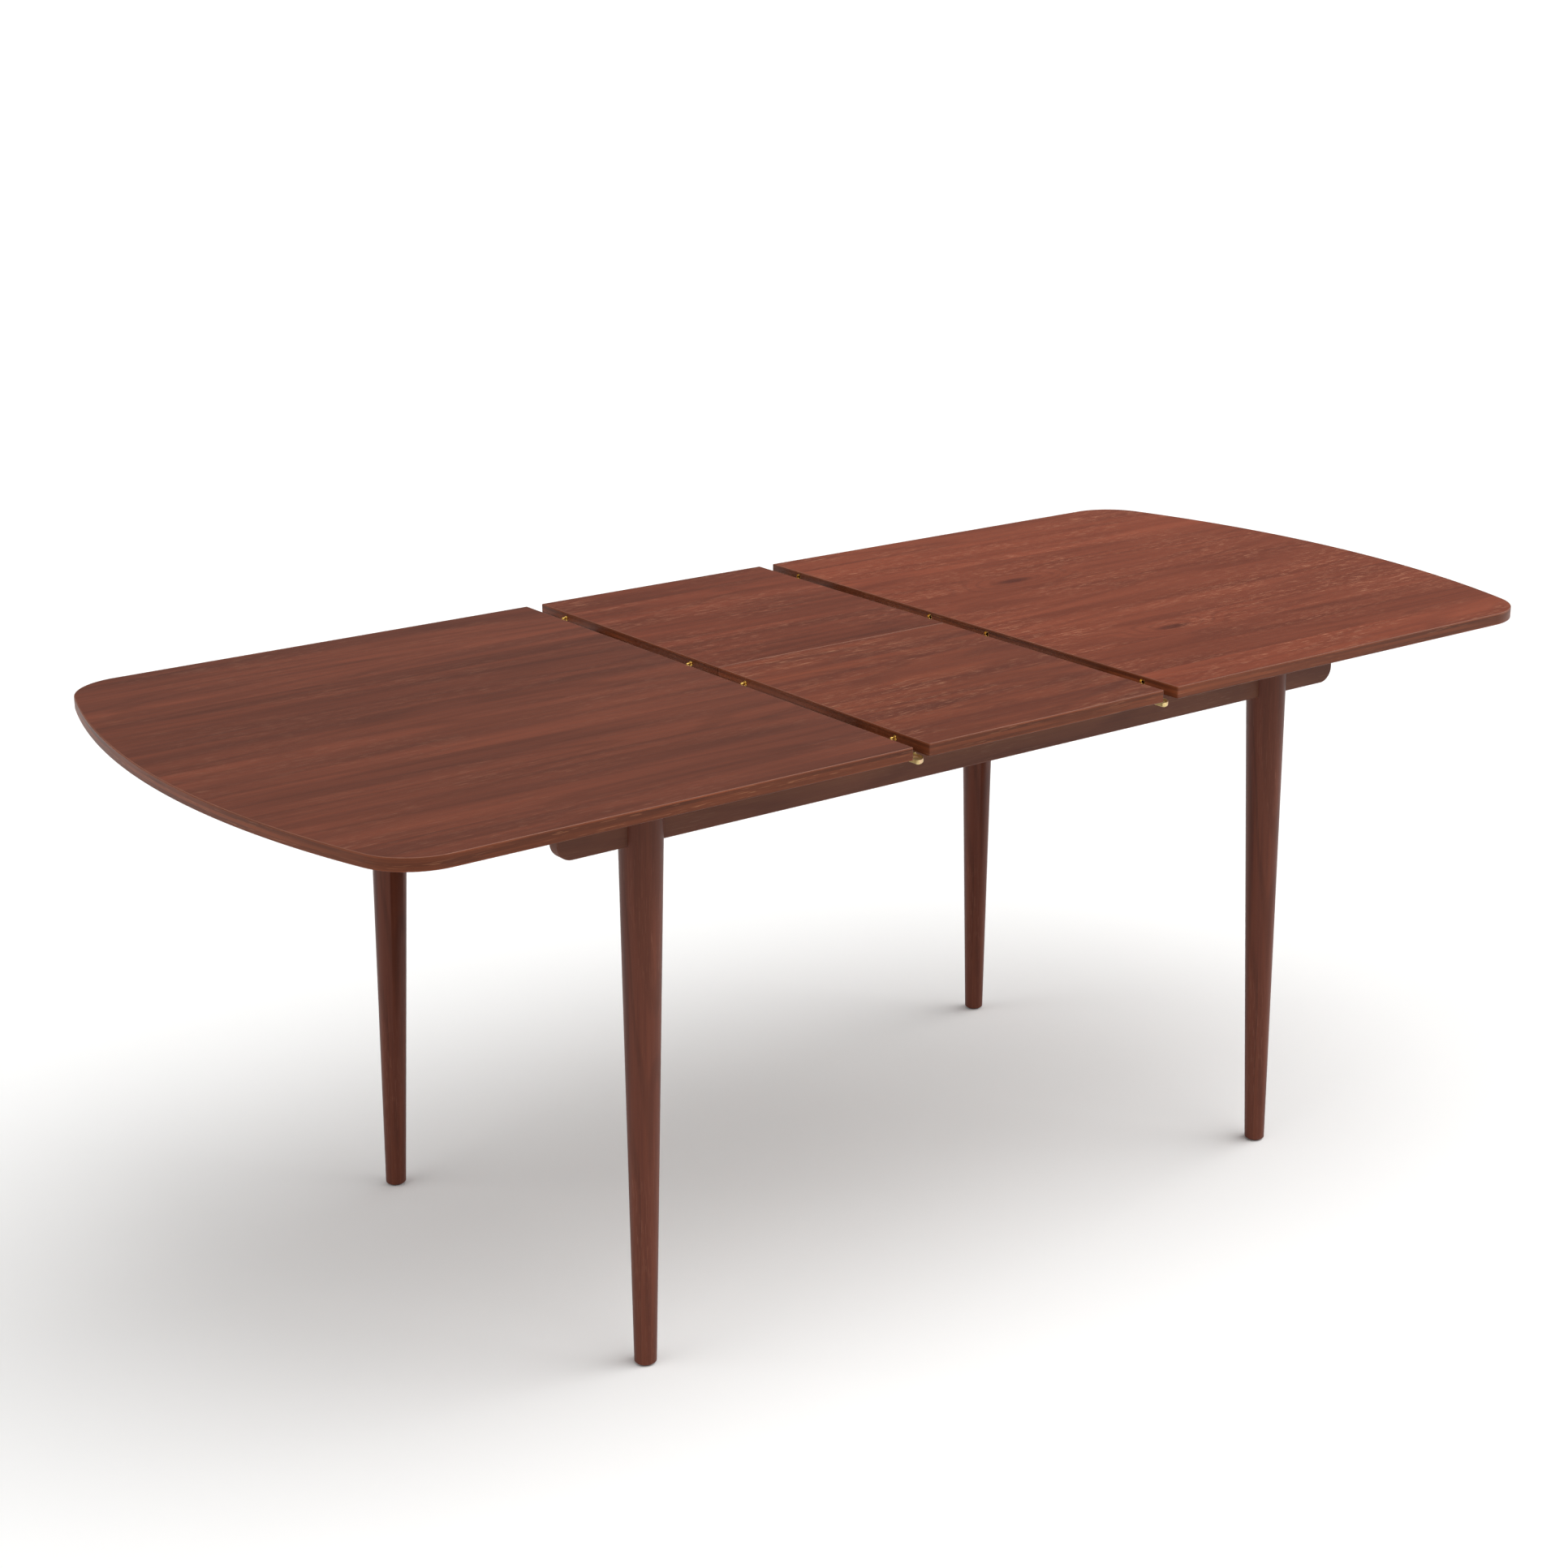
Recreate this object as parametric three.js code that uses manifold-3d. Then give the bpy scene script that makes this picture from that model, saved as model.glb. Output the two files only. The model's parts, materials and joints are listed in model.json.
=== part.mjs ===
// Extendable dining table: two end tops on runners, a hinged centre leaf and a splayed-leg frame.
// Millimetres, +Z up, origin on the floor under the middle of the table, +X along its length.
import * as THREE from "three";
import { mergeVertices } from "three/addons/utils/BufferGeometryUtils.js";
import Module from "manifold-3d";

// Tops
const TABLE_HEIGHT = 750;
const TABLE_WIDTH = 850;
const TOP_THICKNESS = 16;
const END_LENGTH = 750;
const LEAF_LENGTH = 380;
const PULL_GAP = 24; // each end top stands this far from the leaf
const SEAM_GAP = 0.5; // between the two halves of the leaf
const END_ARC_RADIUS = 1200;
const TOP_CORNER_RADIUS = 80;

// Aprons and rails
const APRON_HALF_SPACING = 307; // table centre to the apron's outer face
const APRON_LENGTH = 1260;
const APRON_HEIGHT = 71.7;
const APRON_THICKNESS = 18;
const APRON_CORNER_RADIUS = 20;
const APRON_CLEARANCE = 0.3; // under the tops, which slide over it
const RAIL_THICKNESS = 18;
const RAIL_LEG_GAP = 4;
const RAIL_RISE = 2; // above the apron's lower edge
const BEARER_THICKNESS = 18;
const BEARER_HALF_SPACING = 130;
const JOINT_GAP = 0.1; // glue line between pieces that butt

// Legs
const FOOT_HALF_SPACING_X = 526;
const FOOT_HALF_SPACING_Y = 307.7;
const LEG_SPLAY_X = 0.0216; // sideways travel for each millimetre of height
const LEG_SPLAY_Y = 0.0155;
const LEG_FOOT_RADIUS = 13.8;
const LEG_TAPER = 0.0208; // radius gained for each millimetre of height
const LEG_TOE_ROUNDING = 2.5;
const LEG_SIDES = 30;
const GLIDE_RADIUS = 10;
const GLIDE_THICKNESS = 2;
const BOLT_RADIUS = 4;
const BOLT_HEAD_RADIUS = 6.5;
const BOLT_HEAD_HEIGHT = 5;
const BOLT_BITE = 11; // depth in the leg
const BOLT_RISE = 18; // above the apron's lower edge
const BOLT_CLEARANCE = 0.2;

// Slides
const RUNNER_LENGTH = 600;
const RUNNER_WIDTH = 24;
const RUNNER_HEIGHT = 34;
const RUNNER_INSET = 20; // from the end top's inner edge
const CHANNEL_WALL = 2.5;
const CHANNEL_TOP_GAP = 6; // under the tops
const SLIDE_CLEARANCE = 0.5;

// Alignment pins, their sockets and the concealed leaf hinges
const PIN_ROWS = [60, 361]; // distances from the table's centre line
const PIN_RADIUS = 2;
const PIN_REACH = 7.5;
const PIN_COLLAR_RADIUS = 3.5;
const PIN_COLLAR_PROUD = 0.8;
const PIN_COLLAR_SUNK = 1;
const PIN_SHANK_RADIUS = 2.5;
const PIN_SHANK_DEPTH = 12;
const SOCKET_RADIUS = 4.7;
const SOCKET_DEPTH = 12;
const SOCKET_CLEARANCE = 0.5; // round the pin and its collar
const DRILL_CLEARANCE = 0.15;
const BARREL_RADIUS = 6;
const BARREL_DEPTH = 14;
const BARREL_SUNK = 0.4;
const BARREL_COLUMN = 120; // from the middle of the leaf
const ROUND_SIDES = 16;
const DOME_STEPS = 3; // rings in a rounded pin tip or leg toe

// Locks: a spoon-shaped lever swings under the edge and hooks round a stud on the next piece
const LOCK_TRAY_RADIUS = 18;
const LOCK_HEEL_RADIUS = 10;
const LOCK_TIP_REACH = 28; // past the edge that carries the lock
const LOCK_PIVOT_INSET = 24;
const LOCK_LEAF_SETBACK = 5.5; // further inset on the leaf, so that it lifts out past the end top
const LOCK_EDGE_DISTANCE = 35; // table's long edge to the pivot
const LOCK_TRAY_OFFSET = 13; // pivot to the tray's centre, towards the long edge
const LOCK_DROP = 7; // underside to the tray's upper face
const LOCK_SHEET = 1.5;
const LOCK_RIM_HEIGHT = 4;
const LOCK_RIM_WALL = 1.2;
const LOCK_RIM_END_DEG = 25;
const LOCK_CURL_RADIUS = 2;
const LOCK_CURL_TOP_GAP = 2;
const LOCK_ARC_STEPS = 12;
const LOCK_SWING_DEG = 40;
const LOCK_PIN_RADIUS = 4;
const LOCK_HEAD_RADIUS = 6.5;
const LOCK_HEAD_HEIGHT = 2.4;
const LOCK_RUNNING_GAP = 0.2;
const LOCK_PLATE_THICKNESS = 2;
const LOCK_PLATE_LENGTH = 36;
const LOCK_PLATE_WIDTH = 34;
const STUD_RADIUS = 2;
const STUD_FLANGE_RADIUS = 6;
const STUD_FLANGE_THICKNESS = 1.5;
const STUD_GAP = 0.5; // between the stud's path and the curl

// Levels and places worked out from the sizes above
const UNDERSIDE = TABLE_HEIGHT - TOP_THICKNESS;
const MID_EDGE = TABLE_HEIGHT - TOP_THICKNESS / 2;
const LEAF_EDGE = LEAF_LENGTH / 2;
const END_EDGE = LEAF_EDGE + PULL_GAP;
const APRON_TOP = UNDERSIDE - APRON_CLEARANCE;
const APRON_BOTTOM = APRON_TOP - APRON_HEIGHT;
const APRON_INNER = APRON_HALF_SPACING - APRON_THICKNESS;
const RUNNER_BOTTOM = UNDERSIDE - RUNNER_HEIGHT;
const CHANNEL_WIDTH = RUNNER_WIDTH + 2 * (SLIDE_CLEARANCE + CHANNEL_WALL);
const CHANNEL_BOTTOM = RUNNER_BOTTOM - SLIDE_CLEARANCE - CHANNEL_WALL;
const RUNNER_Y = APRON_INNER - JOINT_GAP - CHANNEL_WIDTH / 2;
const RAIL_BOTTOM = APRON_BOTTOM + RAIL_RISE;
const LEG_TOP_RADIUS = LEG_FOOT_RADIUS + LEG_TAPER * (APRON_TOP - GLIDE_THICKNESS);
const LEG_TOP_X = FOOT_HALF_SPACING_X - LEG_SPLAY_X * APRON_TOP;
const RAIL_OUTER = LEG_TOP_X - LEG_TOP_RADIUS - RAIL_LEG_GAP;
const LOCK_Y = TABLE_WIDTH / 2 - LOCK_EDGE_DISTANCE;
const LOCK_TRAY_CENTRE = LOCK_PIVOT_INSET + LOCK_TIP_REACH - LOCK_TRAY_RADIUS; // from the pivot
const LOCK_TRAY_TOP = UNDERSIDE - LOCK_DROP;
const LOCK_DROOP = Math.atan2(LOCK_TRAY_OFFSET, LOCK_TRAY_CENTRE);
const LOCK_CURL_PLACE = LOCK_TRAY_RADIUS + LOCK_CURL_RADIUS - LOCK_RIM_WALL; // from the tray's centre
const LOCK_CURL_ANGLE = THREE.MathUtils.degToRad(LOCK_RIM_END_DEG) + LOCK_CURL_RADIUS * 0.6 / LOCK_TRAY_RADIUS;
const LOCK_CURL_X = LOCK_TRAY_CENTRE + LOCK_CURL_PLACE * Math.cos(LOCK_CURL_ANGLE);
const LOCK_CURL_Y = LOCK_CURL_PLACE * Math.sin(LOCK_CURL_ANGLE) - LOCK_TRAY_OFFSET;
const STUD_REACH = Math.hypot(LOCK_CURL_X, LOCK_CURL_Y) - LOCK_CURL_RADIUS - STUD_GAP - STUD_RADIUS;

const wasm = await Module();
wasm.setup();

// A three.js geometry as a manifold solid
function solid(geometry) {
  const bare = geometry.index ? geometry.toNonIndexed() : geometry.clone();
  bare.deleteAttribute("normal");
  bare.deleteAttribute("uv");
  const merged = mergeVertices(bare, 1e-4);
  return new wasm.Manifold(new wasm.Mesh({
    numProp: 3,
    vertProperties: new Float32Array(merged.attributes.position.array),
    triVerts: new Uint32Array(merged.index.array),
  }));
}

// A manifold solid back as a three.js geometry
function geometryOf(body) {
  const mesh = body.getMesh();
  const geometry = new THREE.BufferGeometry();
  geometry.setAttribute("position", new THREE.BufferAttribute(mesh.vertProperties, 3));
  geometry.setIndex(new THREE.BufferAttribute(mesh.triVerts, 1));
  return geometry;
}

// A solid box between two corners
function block(low, high) {
  const size = high.map((value, i) => value - low[i]);
  const middle = high.map((value, i) => (value + low[i]) / 2);
  return solid(new THREE.BoxGeometry(...size).translate(...middle));
}

// A shape in X and Y pulled up from one level to another
function slab(shape, bottom, top, curveSegments) {
  const options = { depth: top - bottom, bevelEnabled: false, curveSegments };
  return solid(new THREE.ExtrudeGeometry(shape, options).translate(0, 0, bottom));
}

// A turned solid whose axis is Z; the profile is a closed list of [radius, height]
function turned(profile, sides = ROUND_SIDES) {
  const points = profile.map(([radius, height]) => new THREE.Vector2(radius, height));
  return solid(new THREE.LatheGeometry(points, sides).rotateX(Math.PI / 2));
}

// A round bar along Z between two heights
function bar(radius, bottom, top) {
  return turned([[0, bottom], [radius, bottom], [radius, top], [0, top]]);
}

const material = (color, roughness, metalness = 0) =>
  new THREE.MeshStandardMaterial({ color, roughness, metalness });
const topFinish = () => material(0x7b4a3c, 0.35);
const frameFinish = () => material(0x5a4037, 0.45);
const legFinish = () => material(0x5d4036, 0.4);
const hiddenWoodFinish = () => material(0xa98460, 0.6);
const steelFinish = () => material(0xb9bcc0, 0.35, 0.9);
const brassFinish = () => material(0xc9a24a, 0.25, 1);
const platedFinish = () => material(0xc7a662, 0.35, 0.9);
const feltFinish = () => material(0x3c2f2a, 0.95);

const group = new THREE.Group();

function add(name, body, finish) {
  const mesh = new THREE.Mesh(geometryOf(body), finish);
  mesh.name = name;
  group.add(mesh);
}

const SIDES_X = [["left", -1], ["right", 1]];
const SIDES_Y = [["front", -1], ["rear", 1]];

// ---- Frame: aprons, rails, bearers ----
for (const [side, sign] of SIDES_Y) {
  const half = APRON_LENGTH / 2;
  const outline = new THREE.Shape();
  outline.moveTo(-half, APRON_TOP);
  outline.lineTo(-half, APRON_BOTTOM + APRON_CORNER_RADIUS);
  outline.absarc(-half + APRON_CORNER_RADIUS, APRON_BOTTOM + APRON_CORNER_RADIUS,
    APRON_CORNER_RADIUS, Math.PI, Math.PI * 1.5);
  outline.absarc(half - APRON_CORNER_RADIUS, APRON_BOTTOM + APRON_CORNER_RADIUS,
    APRON_CORNER_RADIUS, -Math.PI / 2, 0);
  outline.lineTo(half, APRON_TOP);
  const board = new THREE.ExtrudeGeometry(outline, {
    depth: APRON_THICKNESS, bevelEnabled: false, curveSegments: 10,
  });
  board.rotateX(Math.PI / 2);
  board.translate(0, sign > 0 ? APRON_HALF_SPACING : -APRON_INNER, 0);
  let apron = solid(board);
  for (const [, signX] of SIDES_X) {
    const hole = bar(BOLT_RADIUS + BOLT_CLEARANCE, APRON_INNER - 1, APRON_HALF_SPACING + 1)
      .rotate([90 * -sign, 0, 0]);
    apron = apron.subtract(hole.translate([signX * LEG_TOP_X, 0, APRON_BOTTOM + BOLT_RISE]));
  }
  add(`apron_${side}`, apron, frameFinish());
}

for (const [side, sign] of SIDES_X) {
  const outer = sign * RAIL_OUTER;
  const inner = sign * (RAIL_OUTER - RAIL_THICKNESS);
  const reach = APRON_INNER - JOINT_GAP;
  const rail = block(
    [Math.min(outer, inner), -reach, RAIL_BOTTOM],
    [Math.max(outer, inner), reach, CHANNEL_BOTTOM - JOINT_GAP],
  );
  add(`cross_rail_${side}`, rail, hiddenWoodFinish());
}

for (const [side, sign] of SIDES_Y) {
  const reach = RAIL_OUTER - RAIL_THICKNESS - JOINT_GAP;
  const middle = sign * BEARER_HALF_SPACING;
  const bearer = block(
    [-reach, middle - BEARER_THICKNESS / 2, RAIL_BOTTOM],
    [reach, middle + BEARER_THICKNESS / 2, CHANNEL_BOTTOM - JOINT_GAP],
  );
  add(`leaf_bearer_${side}`, bearer, hiddenWoodFinish());
}

// ---- Slide channels: U sections fixed inside the aprons, on top of the rails ----
for (const [side, sign] of SIDES_Y) {
  const middle = sign * RUNNER_Y;
  const top = UNDERSIDE - CHANNEL_TOP_GAP;
  const full = block(
    [-RAIL_OUTER, middle - CHANNEL_WIDTH / 2, CHANNEL_BOTTOM],
    [RAIL_OUTER, middle + CHANNEL_WIDTH / 2, top],
  );
  const trough = CHANNEL_WIDTH / 2 - CHANNEL_WALL;
  const inside = block(
    [-RAIL_OUTER - 1, middle - trough, CHANNEL_BOTTOM + CHANNEL_WALL],
    [RAIL_OUTER + 1, middle + trough, top + 1],
  );
  add(`slide_channel_${side}`, full.subtract(inside), steelFinish());
}

// ---- Legs: splayed round tapers, lapped over the apron, each with a bolt and a glide ----
function legSolid(signX, signY) {
  const toe = LEG_TOE_ROUNDING;
  const profile = [[0, GLIDE_THICKNESS]];
  for (let step = 0; step <= DOME_STEPS; step += 1) {
    const angle = (step / DOME_STEPS) * Math.PI / 2;
    profile.push([
      LEG_FOOT_RADIUS - toe + toe * Math.sin(angle),
      GLIDE_THICKNESS + toe - toe * Math.cos(angle),
    ]);
  }
  profile.push([LEG_TOP_RADIUS, APRON_TOP], [0, APRON_TOP]);
  const points = profile.map(([radius, height]) => new THREE.Vector2(radius, height));
  const lathe = new THREE.LatheGeometry(points, LEG_SIDES).rotateX(Math.PI / 2);
  const shear = new THREE.Matrix4().set(
    1, 0, -signX * LEG_SPLAY_X, signX * FOOT_HALF_SPACING_X,
    0, 1, -signY * LEG_SPLAY_Y, signY * FOOT_HALF_SPACING_Y,
    0, 0, 1, 0,
    0, 0, 0, 1,
  );
  return solid(lathe.applyMatrix4(shear));
}

for (const [sideX, signX] of SIDES_X) {
  for (const [sideY, signY] of SIDES_Y) {
    const place = `${sideY}_${sideX}`;
    const face = APRON_HALF_SPACING + JOINT_GAP;
    const behind = APRON_HALF_SPACING - 3 * LEG_TOP_RADIUS;
    const lap = block(
      [signX * LEG_TOP_X - 2 * LEG_TOP_RADIUS, Math.min(signY * face, signY * behind),
        APRON_BOTTOM - JOINT_GAP],
      [signX * LEG_TOP_X + 2 * LEG_TOP_RADIUS, Math.max(signY * face, signY * behind),
        APRON_TOP + 1],
    );
    const boltHeight = APRON_BOTTOM + BOLT_RISE;
    const boltHole = bar(BOLT_RADIUS + BOLT_CLEARANCE, APRON_INNER,
      APRON_HALF_SPACING + BOLT_BITE + BOLT_CLEARANCE)
      .rotate([90 * -signY, 0, 0]).translate([signX * LEG_TOP_X, 0, boltHeight]);
    add(`leg_${place}`, legSolid(signX, signY).subtract(lap).subtract(boltHole), legFinish());

    const headTop = APRON_INNER - JOINT_GAP;
    const bolt = turned([
      [0, headTop - BOLT_HEAD_HEIGHT],
      [BOLT_HEAD_RADIUS, headTop - BOLT_HEAD_HEIGHT],
      [BOLT_HEAD_RADIUS, headTop],
      [BOLT_RADIUS, headTop],
      [BOLT_RADIUS, APRON_HALF_SPACING + BOLT_BITE],
      [0, APRON_HALF_SPACING + BOLT_BITE],
    ]).rotate([90 * -signY, 0, 0]).translate([signX * LEG_TOP_X, 0, boltHeight]);
    add(`leg_bolt_${place}`, bolt, steelFinish());

    const glide = bar(GLIDE_RADIUS, 0, GLIDE_THICKNESS).translate([
      signX * (FOOT_HALF_SPACING_X - LEG_SPLAY_X * GLIDE_THICKNESS),
      signY * (FOOT_HALF_SPACING_Y - LEG_SPLAY_Y * GLIDE_THICKNESS), 0,
    ]);
    add(`foot_glide_${place}`, glide, feltFinish());
  }
}

// ---- End tops: boards with a bowed end, two runners and four sockets each ----
function endOutline() {
  const half = TABLE_WIDTH / 2;
  const bowCentre = END_EDGE + END_LENGTH - END_ARC_RADIUS;
  const cornerY = half - TOP_CORNER_RADIUS;
  const cornerReach = END_ARC_RADIUS - TOP_CORNER_RADIUS;
  const cornerX = bowCentre + Math.sqrt(cornerReach ** 2 - cornerY ** 2);
  const turn = Math.asin(cornerY / cornerReach);
  const outline = new THREE.Shape();
  outline.moveTo(END_EDGE, half);
  outline.lineTo(END_EDGE, -half);
  outline.absarc(cornerX, -cornerY, TOP_CORNER_RADIUS, -Math.PI / 2, -turn);
  outline.absarc(bowCentre, 0, END_ARC_RADIUS, -turn, turn);
  outline.absarc(cornerX, cornerY, TOP_CORNER_RADIUS, turn, Math.PI / 2);
  return outline;
}

for (const [side, sign] of SIDES_X) {
  const turnRound = sign > 0 ? 0 : 180;
  let board = slab(endOutline(), UNDERSIDE, TABLE_HEIGHT, 16).rotate([0, 0, turnRound]);
  for (const row of PIN_ROWS) {
    for (const [sideY, signY] of SIDES_Y) {
      const place = [sign * END_EDGE, signY * row, MID_EDGE];
      const hole = bar(SOCKET_RADIUS + DRILL_CLEARANCE, -1, SOCKET_DEPTH + DRILL_CLEARANCE)
        .rotate([0, 90 * sign, 0]).translate(place);
      board = board.subtract(hole);
      const bore = PIN_RADIUS + SOCKET_CLEARANCE;
      const mouth = PIN_COLLAR_RADIUS + SOCKET_CLEARANCE;
      const mouthDepth = PIN_COLLAR_PROUD + SOCKET_CLEARANCE;
      const socket = turned([
        [bore, SOCKET_DEPTH],
        [bore, mouthDepth],
        [mouth, mouthDepth],
        [mouth, 0],
        [SOCKET_RADIUS, 0],
        [SOCKET_RADIUS, SOCKET_DEPTH],
        [bore, SOCKET_DEPTH],
      ]).rotate([0, 90 * sign, 0]).translate(place);
      const position = row === PIN_ROWS[0] ? "inner" : "outer";
      add(`pin_socket_${side}_${sideY}_${position}`, socket, brassFinish());
    }
  }
  add(`tabletop_${side}`, board, topFinish());

  for (const [sideY, signY] of SIDES_Y) {
    const near = sign * (END_EDGE + RUNNER_INSET);
    const far = near + sign * RUNNER_LENGTH;
    const middle = signY * RUNNER_Y;
    const runner = block(
      [Math.min(near, far), middle - RUNNER_WIDTH / 2, RUNNER_BOTTOM],
      [Math.max(near, far), middle + RUNNER_WIDTH / 2, UNDERSIDE - JOINT_GAP],
    );
    add(`runner_${side}_${sideY}`, runner, hiddenWoodFinish());
  }
}

// ---- Centre leaf: two hinged halves, alignment pins on both ends of each ----
function pinProfile() {
  const tip = PIN_RADIUS;
  const profile = [
    [0, -PIN_SHANK_DEPTH],
    [PIN_SHANK_RADIUS, -PIN_SHANK_DEPTH],
    [PIN_SHANK_RADIUS, -PIN_COLLAR_SUNK],
    [PIN_COLLAR_RADIUS, -PIN_COLLAR_SUNK],
    [PIN_COLLAR_RADIUS, PIN_COLLAR_PROUD],
    [PIN_RADIUS, PIN_COLLAR_PROUD],
  ];
  for (let step = 0; step <= DOME_STEPS; step += 1) {
    const angle = (step / DOME_STEPS) * Math.PI / 2;
    const radius = step === DOME_STEPS ? 0 : tip * Math.cos(angle);
    profile.push([radius, PIN_REACH - tip + tip * Math.sin(angle)]);
  }
  return profile;
}

for (const [sideY, signY] of SIDES_Y) {
  const seam = signY * SEAM_GAP / 2;
  const edge = signY * TABLE_WIDTH / 2;
  let board = block(
    [-LEAF_EDGE, Math.min(seam, edge), UNDERSIDE],
    [LEAF_EDGE, Math.max(seam, edge), TABLE_HEIGHT],
  );
  for (const [side, sign] of SIDES_X) {
    for (const row of PIN_ROWS) {
      const place = [sign * LEAF_EDGE, signY * row, MID_EDGE];
      const shank = bar(PIN_SHANK_RADIUS + DRILL_CLEARANCE, -PIN_SHANK_DEPTH - DRILL_CLEARANCE, 1);
      const sink = bar(PIN_COLLAR_RADIUS + DRILL_CLEARANCE, -PIN_COLLAR_SUNK - DRILL_CLEARANCE, 1);
      board = board.subtract(shank.add(sink).rotate([0, 90 * sign, 0]).translate(place));
      const pin = turned(pinProfile()).rotate([0, 90 * sign, 0]).translate(place);
      const position = row === PIN_ROWS[0] ? "inner" : "outer";
      add(`leaf_pin_${side}_${sideY}_${position}`, pin, brassFinish());
    }
    const hingePlace = [sign * BARREL_COLUMN, seam, MID_EDGE];
    const pocket = bar(BARREL_RADIUS + DRILL_CLEARANCE, -1, BARREL_SUNK + BARREL_DEPTH
      + DRILL_CLEARANCE).rotate([90 * -signY, 0, 0]).translate(hingePlace);
    board = board.subtract(pocket);
    const barrel = bar(BARREL_RADIUS, BARREL_SUNK, BARREL_SUNK + BARREL_DEPTH)
      .rotate([90 * -signY, 0, 0]).translate(hingePlace);
    add(`hinge_barrel_${side}_${sideY}`, barrel, brassFinish());
  }
  add(`leaf_${sideY}`, board, topFinish());
}

// ---- Locks: plate with a pivot, spoon-shaped lever, and a stud on the piece to the right ----

// A heel round the pivot and an arm to a half-moon tray, which is cut straight on its pivot side
function spoonOutline(offset) {
  const tray = LOCK_TRAY_RADIUS + offset;
  const heel = LOCK_HEEL_RADIUS + offset;
  const spread = Math.hypot(LOCK_TRAY_CENTRE, LOCK_TRAY_OFFSET);
  const tangent = Math.acos((tray - heel) / spread) - LOCK_DROOP;
  const outline = new THREE.Shape();
  outline.absarc(LOCK_TRAY_CENTRE, -LOCK_TRAY_OFFSET, tray, -Math.acos(-offset / tray), tangent);
  outline.absarc(0, 0, heel, tangent, 1.5 * Math.PI);
  outline.lineTo(LOCK_TRAY_CENTRE - offset, -heel);
  return outline;
}

// The lever reaches along +X from its pivot at the origin, and is open towards +Y
function leverSolid() {
  const floor = LOCK_TRAY_TOP - LOCK_SHEET;
  const rimTop = LOCK_TRAY_TOP + LOCK_RIM_HEIGHT;
  const rimEnd = THREE.MathUtils.degToRad(LOCK_RIM_END_DEG);
  const plate = slab(spoonOutline(0), floor, LOCK_TRAY_TOP, LOCK_ARC_STEPS);
  const open = block(
    [-2 * LOCK_HEEL_RADIUS, LOCK_TRAY_RADIUS * Math.sin(rimEnd) - LOCK_TRAY_OFFSET, floor - 1],
    [2 * LOCK_TRAY_RADIUS + LOCK_TRAY_CENTRE, 2 * LOCK_TRAY_RADIUS, rimTop + 1],
  );
  const heel = block(
    [-2 * LOCK_HEEL_RADIUS, -2 * LOCK_TRAY_RADIUS, floor - 1],
    [LOCK_TRAY_CENTRE / 2, 2 * LOCK_TRAY_RADIUS, rimTop + 1],
  );
  const rim = slab(spoonOutline(0), LOCK_TRAY_TOP - LOCK_SHEET / 2, rimTop, LOCK_ARC_STEPS)
    .subtract(slab(spoonOutline(-LOCK_RIM_WALL), floor, rimTop + 1, LOCK_ARC_STEPS))
    .subtract(open)
    .subtract(heel);
  const curlShape = new THREE.Shape();
  const curlInner = LOCK_CURL_RADIUS - LOCK_RIM_WALL * 0.8;
  curlShape.absarc(0, 0, LOCK_CURL_RADIUS, Math.PI, 2.7 * Math.PI);
  curlShape.absarc(0, 0, curlInner, 2.7 * Math.PI, Math.PI, true);
  const curl = slab(curlShape, LOCK_TRAY_TOP - LOCK_SHEET / 2, UNDERSIDE - LOCK_CURL_TOP_GAP, LOCK_ARC_STEPS / 2)
    .translate([LOCK_CURL_X, LOCK_CURL_Y, 0]);
  const pivotHole = bar(LOCK_PIN_RADIUS + LOCK_RUNNING_GAP, floor - 1, rimTop + 1);
  return plate.add(rim).add(curl).subtract(pivotHole);
}

// The plate under the edge with its headed pivot pin, pivot at the origin
function lockPlateSolid() {
  const plateEnd = LOCK_PIVOT_INSET - 4;
  const plate = block(
    [plateEnd - LOCK_PLATE_LENGTH, -LOCK_PLATE_WIDTH / 2, UNDERSIDE - LOCK_PLATE_THICKNESS],
    [plateEnd, LOCK_PLATE_WIDTH / 2, UNDERSIDE - JOINT_GAP],
  );
  const headTop = LOCK_TRAY_TOP - LOCK_SHEET - LOCK_RUNNING_GAP;
  const pivot = turned([
    [0, headTop - LOCK_HEAD_HEIGHT],
    [LOCK_HEAD_RADIUS, headTop - LOCK_HEAD_HEIGHT],
    [LOCK_HEAD_RADIUS, headTop],
    [LOCK_PIN_RADIUS, headTop],
    [LOCK_PIN_RADIUS, UNDERSIDE - LOCK_PLATE_THICKNESS / 2],
    [0, UNDERSIDE - LOCK_PLATE_THICKNESS / 2],
  ]);
  return plate.add(pivot);
}

function studSolid() {
  const tip = LOCK_TRAY_TOP + LOCK_RUNNING_GAP;
  return turned([
    [0, tip],
    [STUD_RADIUS, tip],
    [STUD_RADIUS, UNDERSIDE - STUD_FLANGE_THICKNESS],
    [STUD_FLANGE_RADIUS, UNDERSIDE - STUD_FLANGE_THICKNESS],
    [STUD_FLANGE_RADIUS, UNDERSIDE - JOINT_GAP],
    [0, UNDERSIDE - JOINT_GAP],
  ]);
}

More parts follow.
